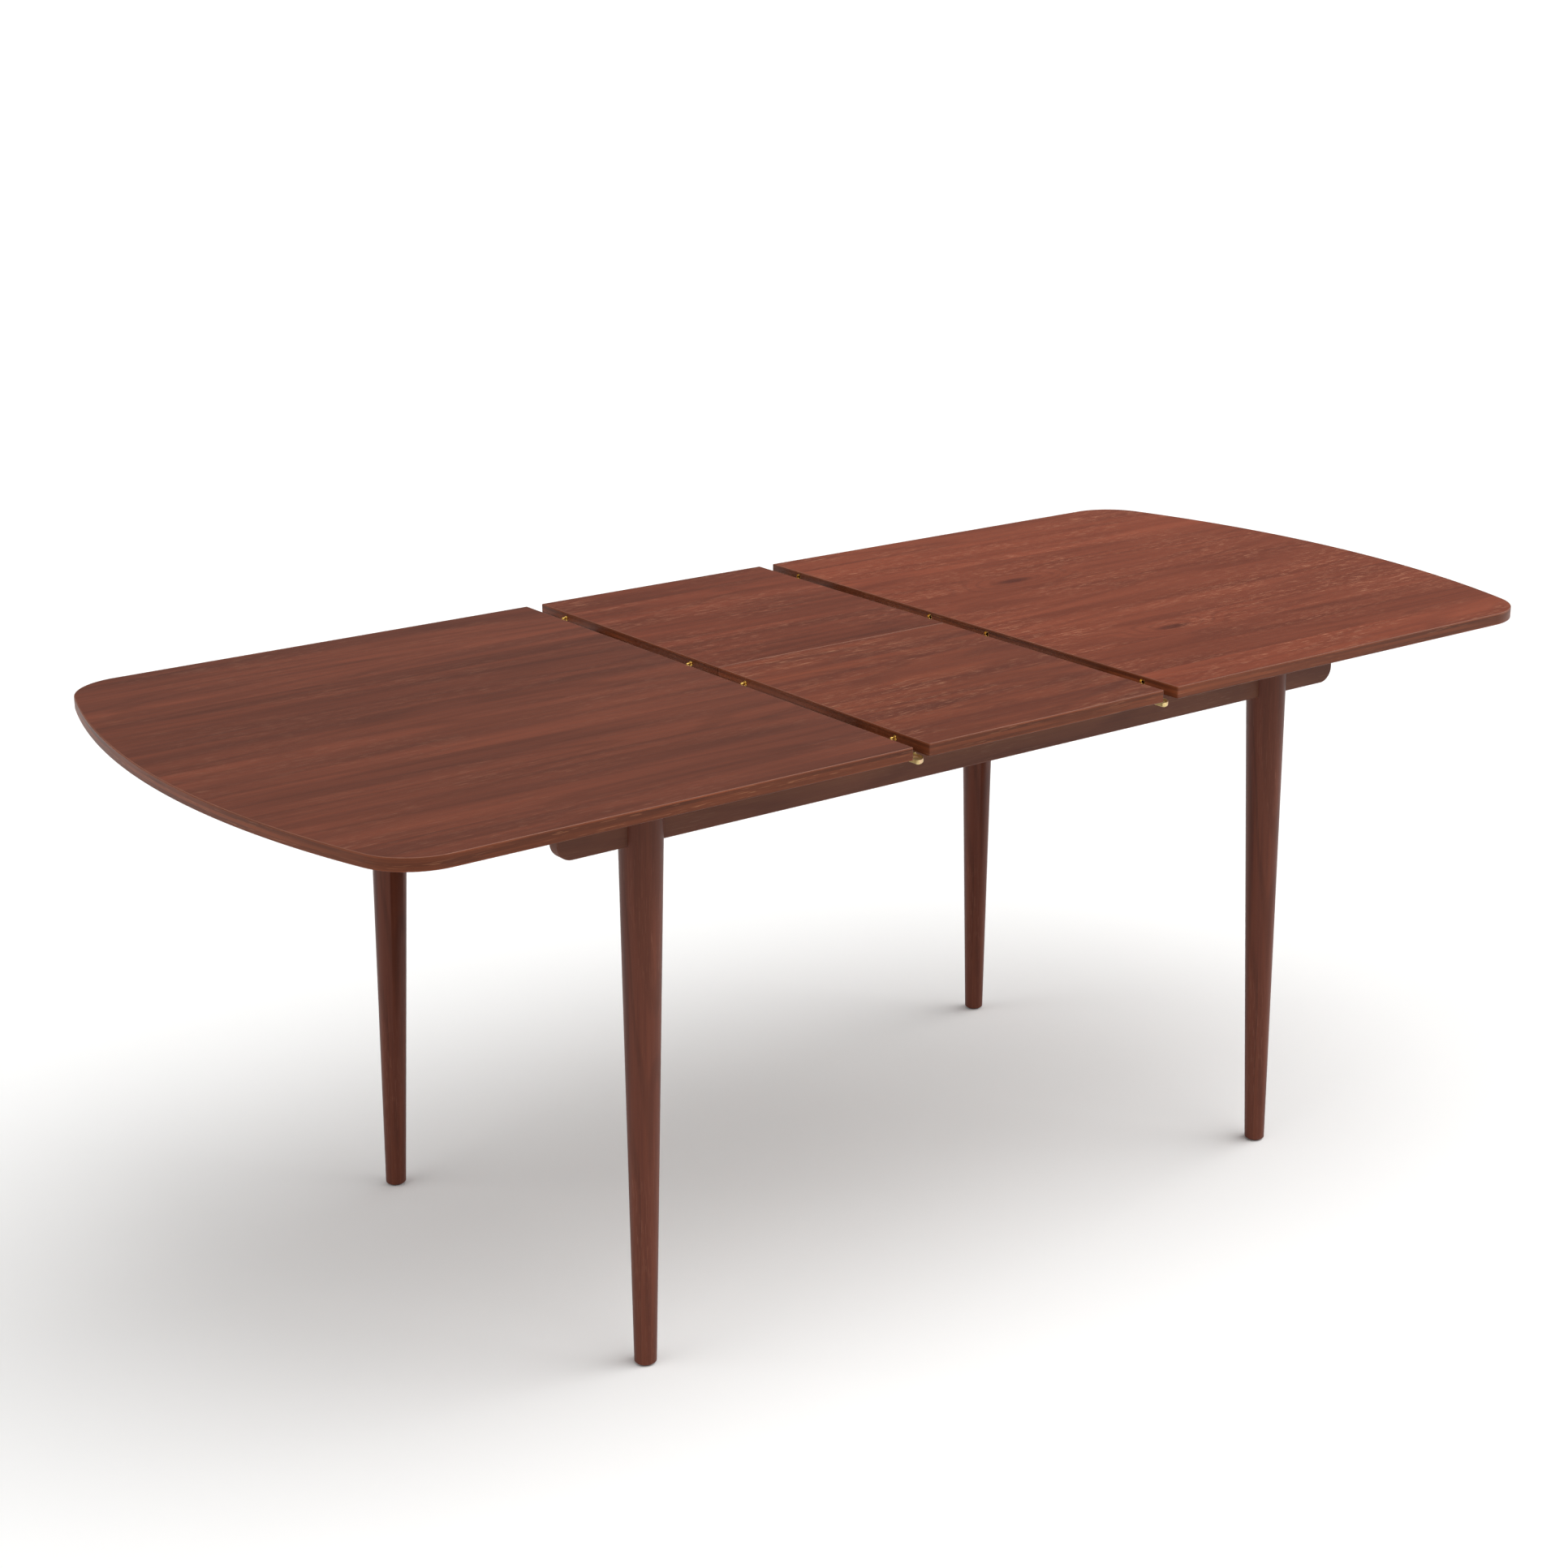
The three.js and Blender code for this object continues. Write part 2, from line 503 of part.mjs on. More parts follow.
for (const [sideX, edge] of [["left", -END_EDGE], ["right", LEAF_EDGE - LOCK_LEAF_SETBACK]]) {
  for (const [sideY, signY] of SIDES_Y) {
    const pivot = [edge - LOCK_PIVOT_INSET, signY * LOCK_Y, 0];
    const swing = THREE.MathUtils.degToRad(LOCK_SWING_DEG);
    const lever = signY < 0 ? leverSolid() : leverSolid().mirror([0, 1, 0]);
    add(`lock_lever_${sideX}_${sideY}`, lever.translate(pivot), platedFinish());
    add(`lock_plate_${sideX}_${sideY}`, lockPlateSolid().translate(pivot), platedFinish());
    const stud = studSolid().translate([
      pivot[0] + PULL_GAP + STUD_REACH * Math.cos(swing - LOCK_DROOP),
      signY * (LOCK_Y - STUD_REACH * Math.sin(swing - LOCK_DROOP)), 0,
    ]);
    add(`lock_stud_${sideX}_${sideY}`, stud, steelFinish());
  }
}

export default group;
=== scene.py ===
import json
import math

import bmesh
import bpy
from mathutils import Matrix, Vector


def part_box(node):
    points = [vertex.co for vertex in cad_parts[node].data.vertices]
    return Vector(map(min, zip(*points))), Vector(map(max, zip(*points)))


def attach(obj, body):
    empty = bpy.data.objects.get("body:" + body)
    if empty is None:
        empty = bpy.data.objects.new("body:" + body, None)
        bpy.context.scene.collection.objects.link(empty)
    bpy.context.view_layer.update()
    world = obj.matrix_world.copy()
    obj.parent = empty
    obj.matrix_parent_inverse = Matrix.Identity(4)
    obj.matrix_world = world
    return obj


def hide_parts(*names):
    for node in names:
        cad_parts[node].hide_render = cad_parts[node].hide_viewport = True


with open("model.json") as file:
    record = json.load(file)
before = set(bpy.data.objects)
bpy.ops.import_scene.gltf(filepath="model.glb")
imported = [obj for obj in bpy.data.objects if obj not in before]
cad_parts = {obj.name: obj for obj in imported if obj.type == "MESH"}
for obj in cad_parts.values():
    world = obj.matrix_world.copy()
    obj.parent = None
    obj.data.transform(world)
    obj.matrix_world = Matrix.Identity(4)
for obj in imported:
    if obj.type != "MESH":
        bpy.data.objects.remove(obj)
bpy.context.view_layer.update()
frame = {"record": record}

MM = 0.001
SIDES_X = (("left", -1), ("right", 1))
SIDES_Y = (("front", -1), ("rear", 1))


# ---- End tops ----
# Two boards of 16 mm particle board, faced with sliced walnut veneer laid in strips along the
# table and edged with a walnut band. The arris is eased by hand sanding and the whole board is
# sprayed with a satin lacquer that leaves the pores half open. The upper arris is given a lighter
# tone: a painted highlight where the rounded edge catches the light.

BOW_RADIUS = 1200 * MM
CORNER_RADIUS = 80 * MM
ARRIS = 1.3 * MM
PLAN_CORNER = 1.6 * MM
VENEER_STRIP = 118 * MM
BAND_STRIP = 4 * MM
RIGHT_KNOTS = ((428 * MM, 127 * MM, 52 * MM), (425 * MM, -203 * MM, 44 * MM))  # place, size
PORE_LENGTH = 13 * MM
PORE_WIDTH = 0.6 * MM  # real pores are about 0.2 mm wide, drawn coarser so that they show
FIBRE_WIDTH = 1.1 * MM
FIBRE_LENGTH = 14 * PORE_LENGTH
RING_LENGTH = 1111 * MM  # each pattern's cell along the grain, then its cell across it
RING_SPREAD = 117.65 * MM
STREAK_LENGTH = 588.2 * MM
STREAK_SPREAD = 29.41 * MM
PATCH_LENGTH = 250 * MM
PATCH_SPREAD = 71.43 * MM
RING_PHASE = 70.0  # radians of ring line from the field's lowest value to its highest
RING_WEIGHT = 0.24
KNOT_SQUASH = (0.33, 1.0, 0.0)  # a knot's swirl is three times as long as it is wide
KNOT_SWELL = 0.34
STRIP_SHIFT = 9.0
GRAIN_DEPTH = 0.12 * MM
SHARP_ANGLE = 48  # degrees between two faces from which their edge stays sharp
TURNED_SHARP_ANGLE = 40


def linear(code):
    """An sRGB hex colour as linear red, green, blue and alpha."""
    values = [int(code[i:i + 2], 16) / 255 for i in (1, 3, 5)]
    curve = [v / 12.92 if v <= 0.04045 else ((v + 0.055) / 1.055) ** 2.4 for v in values]
    return (*curve, 1.0)


def node(tree, kind, settings, inputs):
    """Adds a node; an input that is another node's output is linked, any other is set."""
    made = tree.nodes.new(kind)
    for key, value in settings.items():
        setattr(made, key, value)
    for key, value in inputs.items():
        if isinstance(value, bpy.types.NodeSocket):
            tree.links.new(value, made.inputs[key])
        else:
            made.inputs[key].default_value = value
    return made


def new_material(name, constants):
    """A material whose shader has these constant sockets; returns it, its tree and its shader."""
    material = bpy.data.materials.new(name)
    material.use_nodes = True
    shader = material.node_tree.nodes["Principled BSDF"]
    for key, value in constants.items():
        shader.inputs[key].default_value = value
    return material, material.node_tree, shader


def sawn_wood(name, tones, seed, strip, knots=(), pore_strength=1.0, gloss=0.42):
    """Sawn or sliced wood, its grain along the first map direction: strips, rings, fibres and pores.
    tones are the dark line, the body, the light band and the pore glint."""
    material, tree, shader = new_material(name, {"IOR": 1.45, "Specular IOR Level": 0.22})
    dark, body, light, glint = [linear(code) for code in tones]
    uv = node(tree, "ShaderNodeUVMap", {"uv_map": "UVMap"}, {})
    split = node(tree, "ShaderNodeSeparateXYZ", {}, {"Vector": uv.outputs[0]})
    along, across = split.outputs[0], split.outputs[1]

    # Each strip is its own slice: a number from its place shifts its pattern and its tone.
    index = node(tree, "ShaderNodeMath", {"operation": "DIVIDE"}, {0: across, 1: strip})
    index = node(tree, "ShaderNodeMath", {"operation": "FLOOR"}, {0: index.outputs[0]})
    chance = node(tree, "ShaderNodeTexWhiteNoise", {"noise_dimensions": "1D"}, {
        "W": node(tree, "ShaderNodeMath", {"operation": "ADD"},
                  {0: index.outputs[0], 1: seed}).outputs[0]})
    shift = node(tree, "ShaderNodeMath", {"operation": "MULTIPLY"},
                 {0: chance.outputs["Value"], 1: STRIP_SHIFT})
    place = node(tree, "ShaderNodeCombineXYZ", {},
                 {0: along, 1: across, 2: shift.outputs[0]})

    # Growth rings: level lines of a field stretched along the grain, bent round any knots.
    stretched = node(tree, "ShaderNodeVectorMath", {"operation": "MULTIPLY"},
                     {0: place.outputs[0], 1: (1 / RING_LENGTH, 1 / RING_SPREAD, 1.0)})
    field = node(tree, "ShaderNodeTexNoise", {}, {
        "Vector": stretched.outputs[0], "Scale": 1.0, "Detail": 2.2, "Roughness": 0.45,
        "Distortion": 0.35}).outputs["Fac"]
    eyes = None
    for x, y, size in knots:
        reach = node(tree, "ShaderNodeVectorMath", {"operation": "SUBTRACT"},
                     {0: uv.outputs[0], 1: (x, y, 0)})
        oval = node(tree, "ShaderNodeVectorMath", {"operation": "MULTIPLY"},
                    {0: reach.outputs[0], 1: KNOT_SQUASH})
        distance = node(tree, "ShaderNodeVectorMath", {"operation": "LENGTH"},
                        {0: oval.outputs[0]})
        swell = node(tree, "ShaderNodeMapRange", {"interpolation_type": "SMOOTHERSTEP"}, {
            "Value": distance.outputs["Value"], "From Min": 0.0, "From Max": size,
            "To Min": KNOT_SWELL, "To Max": 0.0})
        field = node(tree, "ShaderNodeMath", {"operation": "ADD"},
                     {0: field, 1: swell.outputs[0]}).outputs[0]
        eye = node(tree, "ShaderNodeMapRange", {"interpolation_type": "SMOOTHSTEP"}, {
            "Value": distance.outputs["Value"], "From Min": 0.06 * size, "From Max": 0.32 * size,
            "To Min": 0.95, "To Max": 0.0}).outputs[0]
        eyes = eye if eyes is None else node(
            tree, "ShaderNodeMath", {"operation": "MAXIMUM"}, {0: eyes, 1: eye}).outputs[0]
    phase = node(tree, "ShaderNodeMath", {"operation": "MULTIPLY"}, {0: field, 1: RING_PHASE})
    wave = node(tree, "ShaderNodeMath", {"operation": "SINE"}, {0: phase.outputs[0]})
    rings = node(tree, "ShaderNodeMapRange", {"interpolation_type": "SMOOTHSTEP"}, {
        "Value": wave.outputs[0], "From Min": 0.1, "From Max": 1.0, "To Min": 0.0,
        "To Max": 1.0})

    # Broad light and dark streaks along the grain, and patches where the pores lie open.
    streak_place = node(tree, "ShaderNodeVectorMath", {"operation": "MULTIPLY"},
                        {0: place.outputs[0], 1: (1 / STREAK_LENGTH, 1 / STREAK_SPREAD, 1.0)})
    streaks = node(tree, "ShaderNodeTexNoise", {}, {
        "Vector": streak_place.outputs[0], "Scale": 1.0, "Detail": 4.0, "Roughness": 0.6})
    patch_place = node(tree, "ShaderNodeVectorMath", {"operation": "MULTIPLY"},
                       {0: place.outputs[0], 1: (1 / PATCH_LENGTH, 1 / PATCH_SPREAD, 1.0)})
    patches = node(tree, "ShaderNodeTexNoise", {}, {
        "Vector": patch_place.outputs[0], "Scale": 1.0, "Detail": 1.0})
    fibre_place = node(tree, "ShaderNodeVectorMath", {"operation": "MULTIPLY"},
                       {0: place.outputs[0], 1: (1 / FIBRE_LENGTH, 1 / FIBRE_WIDTH, 1.0)})
    fibres = node(tree, "ShaderNodeTexNoise", {}, {
        "Vector": fibre_place.outputs[0], "Scale": 1.0, "Detail": 3.0, "Roughness": 0.6})
    pore_place = node(tree, "ShaderNodeVectorMath", {"operation": "MULTIPLY"},
                      {0: place.outputs[0], 1: (1 / PORE_LENGTH, 1 / PORE_WIDTH, 1.0)})
    pore_noise = node(tree, "ShaderNodeTexNoise", {}, {
        "Vector": pore_place.outputs[0], "Scale": 0.55, "Detail": 1.0, "Roughness": 0.5})
    pores = node(tree, "ShaderNodeMapRange", {"interpolation_type": "SMOOTHSTEP"}, {
        "Value": pore_noise.outputs["Fac"], "From Min": 0.61, "From Max": 0.68,
        "To Min": 0.0, "To Max": 1.0})

    toned = node(tree, "ShaderNodeMapRange", {}, {
        "Value": streaks.outputs["Fac"], "From Min": 0.34, "From Max": 0.66,
        "To Min": 0.0, "To Max": 1.0})
    base = node(tree, "ShaderNodeMix", {"data_type": "RGBA"},
                {0: toned.outputs[0], 6: body, 7: light})
    ring_weight = node(tree, "ShaderNodeMath", {"operation": "MULTIPLY"},
                       {0: rings.outputs[0], 1: RING_WEIGHT})
    base = node(tree, "ShaderNodeMix", {"data_type": "RGBA"},
                {0: ring_weight.outputs[0], 6: base.outputs[2], 7: dark})
    if eyes is not None:
        base = node(tree, "ShaderNodeMix", {"data_type": "RGBA"},
                    {0: eyes, 6: base.outputs[2], 7: dark})
    fibre_tone = node(tree, "ShaderNodeMapRange", {}, {
        "Value": fibres.outputs["Fac"], "From Min": 0.25, "From Max": 0.75,
        "To Min": 0.87, "To Max": 1.13})
    strip_tone = node(tree, "ShaderNodeMapRange", {}, {
        "Value": chance.outputs["Value"], "From Min": 0.0, "From Max": 1.0,
        "To Min": 0.86, "To Max": 1.14})
    tone = node(tree, "ShaderNodeMath", {"operation": "MULTIPLY"},
                {0: fibre_tone.outputs[0], 1: strip_tone.outputs[0]})
    base = node(tree, "ShaderNodeMix", {"data_type": "RGBA", "blend_type": "MULTIPLY"},
                {0: 1.0, 6: base.outputs[2], 7: tone.outputs[0]})
    open_grain = node(tree, "ShaderNodeMapRange", {}, {
        "Value": patches.outputs["Fac"], "From Min": 0.42, "From Max": 0.62,
        "To Min": 0.12 * pore_strength, "To Max": 0.85 * pore_strength})
    pore_weight = node(tree, "ShaderNodeMath", {"operation": "MULTIPLY"},
                       {0: pores.outputs[0], 1: open_grain.outputs[0]})
    base = node(tree, "ShaderNodeMix", {"data_type": "RGBA"},
                {0: pore_weight.outputs[0], 6: base.outputs[2], 7: glint})
    tree.links.new(base.outputs[2], shader.inputs["Base Color"])

    # The lacquer film is glossiest between the pores and hazier over the open grain.
    haze = node(tree, "ShaderNodeMapRange", {}, {
        "Value": fibres.outputs["Fac"], "From Min": 0.2, "From Max": 0.8,
        "To Min": gloss - 0.06, "To Max": gloss + 0.12})
    tree.links.new(haze.outputs[0], shader.inputs["Roughness"])
    height = node(tree, "ShaderNodeMath", {"operation": "MULTIPLY_ADD"},
                  {0: pores.outputs[0], 1: -0.7, 2: fibres.outputs["Fac"]})
    bump = node(tree, "ShaderNodeBump", {}, {
        "Strength": 0.22 * pore_strength, "Distance": GRAIN_DEPTH, "Height": height.outputs[0]})
    tree.links.new(bump.outputs[0], shader.inputs["Normal"])
    return material


def arc(x, y, radius, start, end, steps):
    """Points round part of a circle, both ends included; angles in radians."""
    turn = [start + (end - start) * i / steps for i in range(steps + 1)]
    return [(x + radius * math.cos(a), y + radius * math.sin(a)) for a in turn]


def inset_loop(points, distance):
    """The outline moved inwards by a distance, corners kept on their mitres."""
    moved = []
    for i, point in enumerate(points):
        here = Vector(point)
        before = (here - Vector(points[i - 1])).normalized()
        after = (Vector(points[(i + 1) % len(points)]) - here).normalized()
        first = Vector((-before.y, before.x))
        second = Vector((-after.y, after.x))
        mitre = (first + second) / (1 + first.dot(second))
        moved.append(here + mitre * distance)
    return moved


def flat(x, y, h):
    """Lays a slab's outline in X and Y, its thickness up."""
    return x, y, h


def settle(obj, materials, sharp_angle):
    """Smooth shading with flat faces kept flat, and the piece's materials."""
    for material in materials:
        obj.data.materials.append(material)
    obj.data.polygons.foreach_set("use_smooth", [True] * len(obj.data.polygons))
    obj.data.set_sharp_from_angle(angle=math.radians(sharp_angle))
    weighted = obj.modifiers.new("flat faces", "WEIGHTED_NORMAL")
    weighted.keep_sharp = True
    return obj


def finished(mesh, name, materials, sharp_angle=SHARP_ANGLE):
    """Turns a bmesh into an object in the scene, shaded and with its materials."""
    data = bpy.data.meshes.new(name)
    mesh.to_mesh(data)
    mesh.free()
    obj = bpy.data.objects.new(name, data)
    bpy.context.scene.collection.objects.link(obj)
    return settle(obj, materials, sharp_angle)


def slab(name, outline, low, high, ease, materials, place=flat, steps=4):
    """A board cut to an outline with a rounded arris all round.
    Faces take the first material, edges the second, the underside the third and the upper
    arris the fourth."""
    rows = []
    for i in range(steps + 1):
        a = i / steps * math.pi / 2
        rows.append((ease * (1 - math.sin(a)), low + ease * (1 - math.cos(a))))
    for i in range(steps + 1):
        a = i / steps * math.pi / 2
        rows.append((ease * (1 - math.cos(a)), high - ease * (1 - math.sin(a))))
    count = len(outline)
    loops = [inset_loop(outline, inset) for inset, _ in rows]
    run = [0.0]
    for i in range(count):
        run.append(run[-1] + (Vector(outline[(i + 1) % count]) - Vector(outline[i])).length)

    mesh = bmesh.new()
    uv = mesh.loops.layers.uv.new("UVMap")
    grid = [[mesh.verts.new(place(p.x, p.y, h)) for p in loop]
            for loop, (_, h) in zip(loops, rows)]
    for face_row, slot in ((0, 2), (len(rows) - 1, 0)):
        cap = mesh.faces.new(grid[face_row])
        cap.material_index = min(slot, len(materials) - 1)
        for corner, p in zip(cap.loops, loops[face_row]):
            corner[uv].uv = p
    for r in range(len(rows) - 1):
        for i in range(count):
            j = (i + 1) % count
            side = mesh.faces.new((grid[r][i], grid[r][j], grid[r + 1][j], grid[r + 1][i]))
            side.material_index = min(1 if r <= steps + 2 else 3, len(materials) - 1)
            maps = ((run[i], rows[r][1]), (run[i + 1], rows[r][1]),
                    (run[i + 1], rows[r + 1][1]), (run[i], rows[r + 1][1]))
            for corner, value in zip(side.loops, maps):
                corner[uv].uv = value
    bmesh.ops.recalc_face_normals(mesh, faces=mesh.faces)
    return finished(mesh, name, materials)


def turned(name, profile, place, materials, sides=48, sharp_angle=TURNED_SHARP_ANGLE):
    """A piece turned on a lathe: (radius, height) pairs round Z, then put in its place."""
    mesh = bmesh.new()
    uv = mesh.loops.layers.uv.new("UVMap")
    rings = []
    for radius, h in profile:
        if radius == 0:
            rings.append([mesh.verts.new(place @ Vector((0, 0, h)))] * sides)
            continue
        angles = [2 * math.pi * i / sides for i in range(sides)]
        rings.append([mesh.verts.new(place @ Vector((radius * math.cos(a), radius * math.sin(a), h)))
                      for a in angles])
    closed = profile[0] == profile[-1] and profile[0][0] > 0
    if closed:
        for vertex in rings.pop():
            mesh.verts.remove(vertex)
        rings.append(rings[0])
    widest = max(radius for radius, _ in profile)
    for k, (low, high) in enumerate(zip(rings, rings[1:])):
        for i in range(sides):
            j = (i + 1) % sides
            corners = list(dict.fromkeys((low[i], low[j], high[j], high[i])))
            if len(corners) < 3:
                continue
            face = mesh.faces.new(corners)
            for corner in face.loops:
                top = corner.vert in (high[i], high[j]) and corner.vert not in (low[i], low[j])
                edge = i + (1 if corner.vert in (low[j], high[j]) else 0)
                corner[uv].uv = (profile[k + top][1], edge / sides * 2 * math.pi * widest)
    bmesh.ops.recalc_face_normals(mesh, faces=mesh.faces)
    return finished(mesh, name, materials, sharp_angle)


def cut(obj, cutters):
    """Takes the cutters out of a piece for good, and removes them."""
    obj.modifiers.clear()
    for cutter in cutters:
        boolean = obj.modifiers.new("cut", "BOOLEAN")
        boolean.operation = "DIFFERENCE"
        boolean.solver = "EXACT"
        boolean.object = cutter
    graph = bpy.context.evaluated_depsgraph_get()
    graph.update()
    carved = bpy.data.meshes.new_from_object(obj.evaluated_get(graph))
    obj.modifiers.clear()
    obj.data = carved
    for cutter in cutters:
        bpy.data.objects.remove(cutter)
    carved.set_sharp_from_angle(angle=math.radians(SHARP_ANGLE))
    weighted = obj.modifiers.new("flat faces", "WEIGHTED_NORMAL")
    weighted.keep_sharp = True


def middle(low, high):
    """The middle of a box."""
    return [(a + b) / 2 for a, b in zip(low, high)]


def facing(point, axis):
    """A placement whose Z points along an axis, at a point."""
    return Matrix.Translation(point) @ Vector((0, 0, 1)).rotation_difference(
        Vector(axis)).to_matrix().to_4x4()


edge_band = sawn_wood("lacquered walnut edge band",
                      ("#2A1107", "#582B17", "#783D23", "#9B6445"),
                      seed=3.0, strip=BAND_STRIP, pore_strength=0.5)
# Lighter tones than the edge band, for the upper arris: a painted highlight where the rounded edge
# catches the light.
arris_painted_highlight = sawn_wood("lacquered walnut arris with painted highlight",
                         ("#5D3325", "#815342", "#906250", "#A57C69"),
                         seed=7.0, strip=BAND_STRIP, pore_strength=0.4)
backing_veneer = sawn_wood("matt walnut backing veneer",
                           ("#3A1C11", "#522B1C", "#5D3322", "#6D4B39"),
                           seed=5.0, strip=VENEER_STRIP, pore_strength=0.4, gloss=0.55)
left_veneer = sawn_wood("lacquered walnut veneer left",
                        ("#432115", "#5B2F21", "#703A28", "#956650"),
                        seed=11.0, strip=VENEER_STRIP, pore_strength=0.45)
right_veneer = sawn_wood("lacquered walnut veneer right",
                         ("#532112", "#733520", "#84412A", "#B87C5F"),
                         seed=23.0, strip=VENEER_STRIP, knots=RIGHT_KNOTS)


def end_outline(low, high, sign):
    """The bowed outline of an end top, anticlockwise, from its box."""
    half = (high[1] - low[1]) / 2
    inner = high[0] if sign < 0 else low[0]
    tip = abs(low[0] if sign < 0 else high[0])
    bow = tip - BOW_RADIUS
    corner_y = half - CORNER_RADIUS
    reach = BOW_RADIUS - CORNER_RADIUS
    corner_x = bow + math.sqrt(reach ** 2 - corner_y ** 2)
    turn = math.asin(corner_y / reach)
    edge = abs(inner)
    points = arc(edge + PLAN_CORNER, half - PLAN_CORNER, PLAN_CORNER, math.pi / 2, math.pi, 3)
    points += arc(edge + PLAN_CORNER, -half + PLAN_CORNER, PLAN_CORNER,
                  math.pi, 1.5 * math.pi, 3)
    points += arc(corner_x, -corner_y, CORNER_RADIUS, -math.pi / 2, -turn, 16)
    points += arc(bow, 0, BOW_RADIUS, -turn, turn, 48)[1:]
    points += arc(corner_x, corner_y, CORNER_RADIUS, turn, math.pi / 2, 16)[1:]
    return [(sign * x, sign * y) for x, y in points]


SOCKET_HOLE = 4.85 * MM
for side, sign in SIDES_X:
    low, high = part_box(f"tabletop_{side}")
    veneer = left_veneer if side == "left" else right_veneer
    # The fourth material paints a highlight on the upper arris.
    board = slab(f"{side}_end_top", end_outline(low, high, sign), low[2], high[2], ARRIS,
                 [veneer, edge_band, backing_veneer, arris_painted_highlight])
    holes = []
    for side_y, _ in SIDES_Y:
        for row in ("inner", "outer"):
            s_low, s_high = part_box(f"pin_socket_{side}_{side_y}_{row}")
            mouth = s_low[0] if sign > 0 else s_high[0]
            depth = s_high[0] - s_low[0]
            holes.append(turned("drill", [(0, -depth), (SOCKET_HOLE, -depth),
                                          (SOCKET_HOLE, depth), (0, depth)],
                                facing((mouth, *middle(s_low, s_high)[1:]), (sign, 0, 0)),
                                [edge_band], 32))
    cut(board, holes)
    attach(board, f"{side}_end_top")
    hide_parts(f"tabletop_{side}")


# ---- Pin sockets ----
# Turned brass bushes pressed into drilled holes in the end tops' inner edges. The mouth is
# counterbored for the pin's collar, and the bright turned face sits flush with the edge.

TARNISH_SPOT = 2.381 * MM
TOOL_MARK = 0.2618 * MM  # from one turning mark to the next
WAVE_PERIOD = math.pi / 10  # of the wave texture at a scale of 1
METAL_RELIEF = 0.05 * MM


def brass_material(name, tone, shade, rough):
    """Turned brass: fine tool rings across the map, a little brown tarnish in patches."""
    material, tree, shader = new_material(name, {"Metallic": 1.0})
    spot = node(tree, "ShaderNodeTexCoord", {}, {})
    tarnish = node(tree, "ShaderNodeTexNoise", {}, {
        "Vector": spot.outputs["Object"], "Scale": 1 / TARNISH_SPOT, "Detail": 3.0})
    patch = node(tree, "ShaderNodeMapRange", {"interpolation_type": "SMOOTHSTEP"}, {
        "Value": tarnish.outputs["Fac"], "From Min": 0.42, "From Max": 0.75,
        "To Min": 0.0, "To Max": 0.75})
    colour = node(tree, "ShaderNodeMix", {"data_type": "RGBA"},
                  {0: patch.outputs[0], 6: linear(tone), 7: linear(shade)})
    tree.links.new(colour.outputs[2], shader.inputs["Base Color"])
    dull = node(tree, "ShaderNodeMapRange", {}, {
        "Value": tarnish.outputs["Fac"], "From Min": 0.3, "From Max": 0.7,
        "To Min": rough, "To Max": rough + 0.2})
    tree.links.new(dull.outputs[0], shader.inputs["Roughness"])
    uv = node(tree, "ShaderNodeUVMap", {"uv_map": "UVMap"}, {})
    rings = node(tree, "ShaderNodeTexWave", {"bands_direction": "X"}, {
        "Vector": uv.outputs[0], "Scale": WAVE_PERIOD / TOOL_MARK, "Distortion": 0.6})
    bump = node(tree, "ShaderNodeBump", {}, {
        "Strength": 0.12, "Distance": METAL_RELIEF, "Height": rings.outputs["Fac"]})
    tree.links.new(bump.outputs[0], shader.inputs["Normal"])
    return material


brass = brass_material("turned brass", "#EBC36A", "#A67A34", 0.16)

SOCKET_WALL_CHAMFER = 0.35 * MM
SOCKET_BORE = 2.5 * MM
SOCKET_MOUTH = 4.0 * MM
SOCKET_MOUTH_DEPTH = 1.3 * MM
SOCKET_OUTSIDE = 4.7 * MM

for side, sign in SIDES_X:
    for side_y, _ in SIDES_Y:
        for row in ("inner", "outer"):
            name = f"pin_socket_{side}_{side_y}_{row}"
            low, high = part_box(name)
            mouth = low[0] if sign > 0 else high[0]
            place = facing((mouth, *middle(low, high)[1:]), (sign, 0, 0))
            length = high[0] - low[0]
            profile = [
                (SOCKET_BORE, length), (SOCKET_BORE, SOCKET_MOUTH_DEPTH + SOCKET_WALL_CHAMFER),
                (SOCKET_BORE + SOCKET_WALL_CHAMFER, SOCKET_MOUTH_DEPTH),
                (SOCKET_MOUTH, SOCKET_MOUTH_DEPTH), (SOCKET_MOUTH, SOCKET_WALL_CHAMFER),
                (SOCKET_MOUTH + SOCKET_WALL_CHAMFER / 2, 0),
                (SOCKET_OUTSIDE - SOCKET_WALL_CHAMFER / 2, 0),
                (SOCKET_OUTSIDE, SOCKET_WALL_CHAMFER), (SOCKET_OUTSIDE, length),
                (SOCKET_BORE, length),
            ]
            socket = turned(f"brass_socket_{side}_{side_y}_{row}", profile, place, [brass], 40)
            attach(socket, f"{side}_end_top")
            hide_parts(name)


# ---- Centre leaf ----
# Two halves of the same veneered board, 380 mm long, joined by concealed hinges along a seam that
# runs the length of the table. Their long cut edges are banded too, so the seam shows as a line.

front_veneer = sawn_wood("lacquered walnut veneer leaf front",
                         ("#461F13", "#622F1F", "#7A3D27", "#A57156"),
                         seed=37.0, strip=VENEER_STRIP)
rear_veneer = sawn_wood("lacquered walnut veneer leaf rear",
                        ("#451F12", "#5F2D1C", "#773A26", "#A26B52"),
                        seed=41.0, strip=VENEER_STRIP)


def rounded_box(low, high, radius, steps=3):
    """A rectangle's outline with round corners, anticlockwise."""
    (x0, y0), (x1, y1) = low, high
    quarter = math.pi / 2
    return (arc(x1 - radius, y0 + radius, radius, -quarter, 0, steps)
            + arc(x1 - radius, y1 - radius, radius, 0, quarter, steps)
            + arc(x0 + radius, y1 - radius, radius, quarter, 2 * quarter, steps)
            + arc(x0 + radius, y0 + radius, radius, 2 * quarter, 3 * quarter, steps))


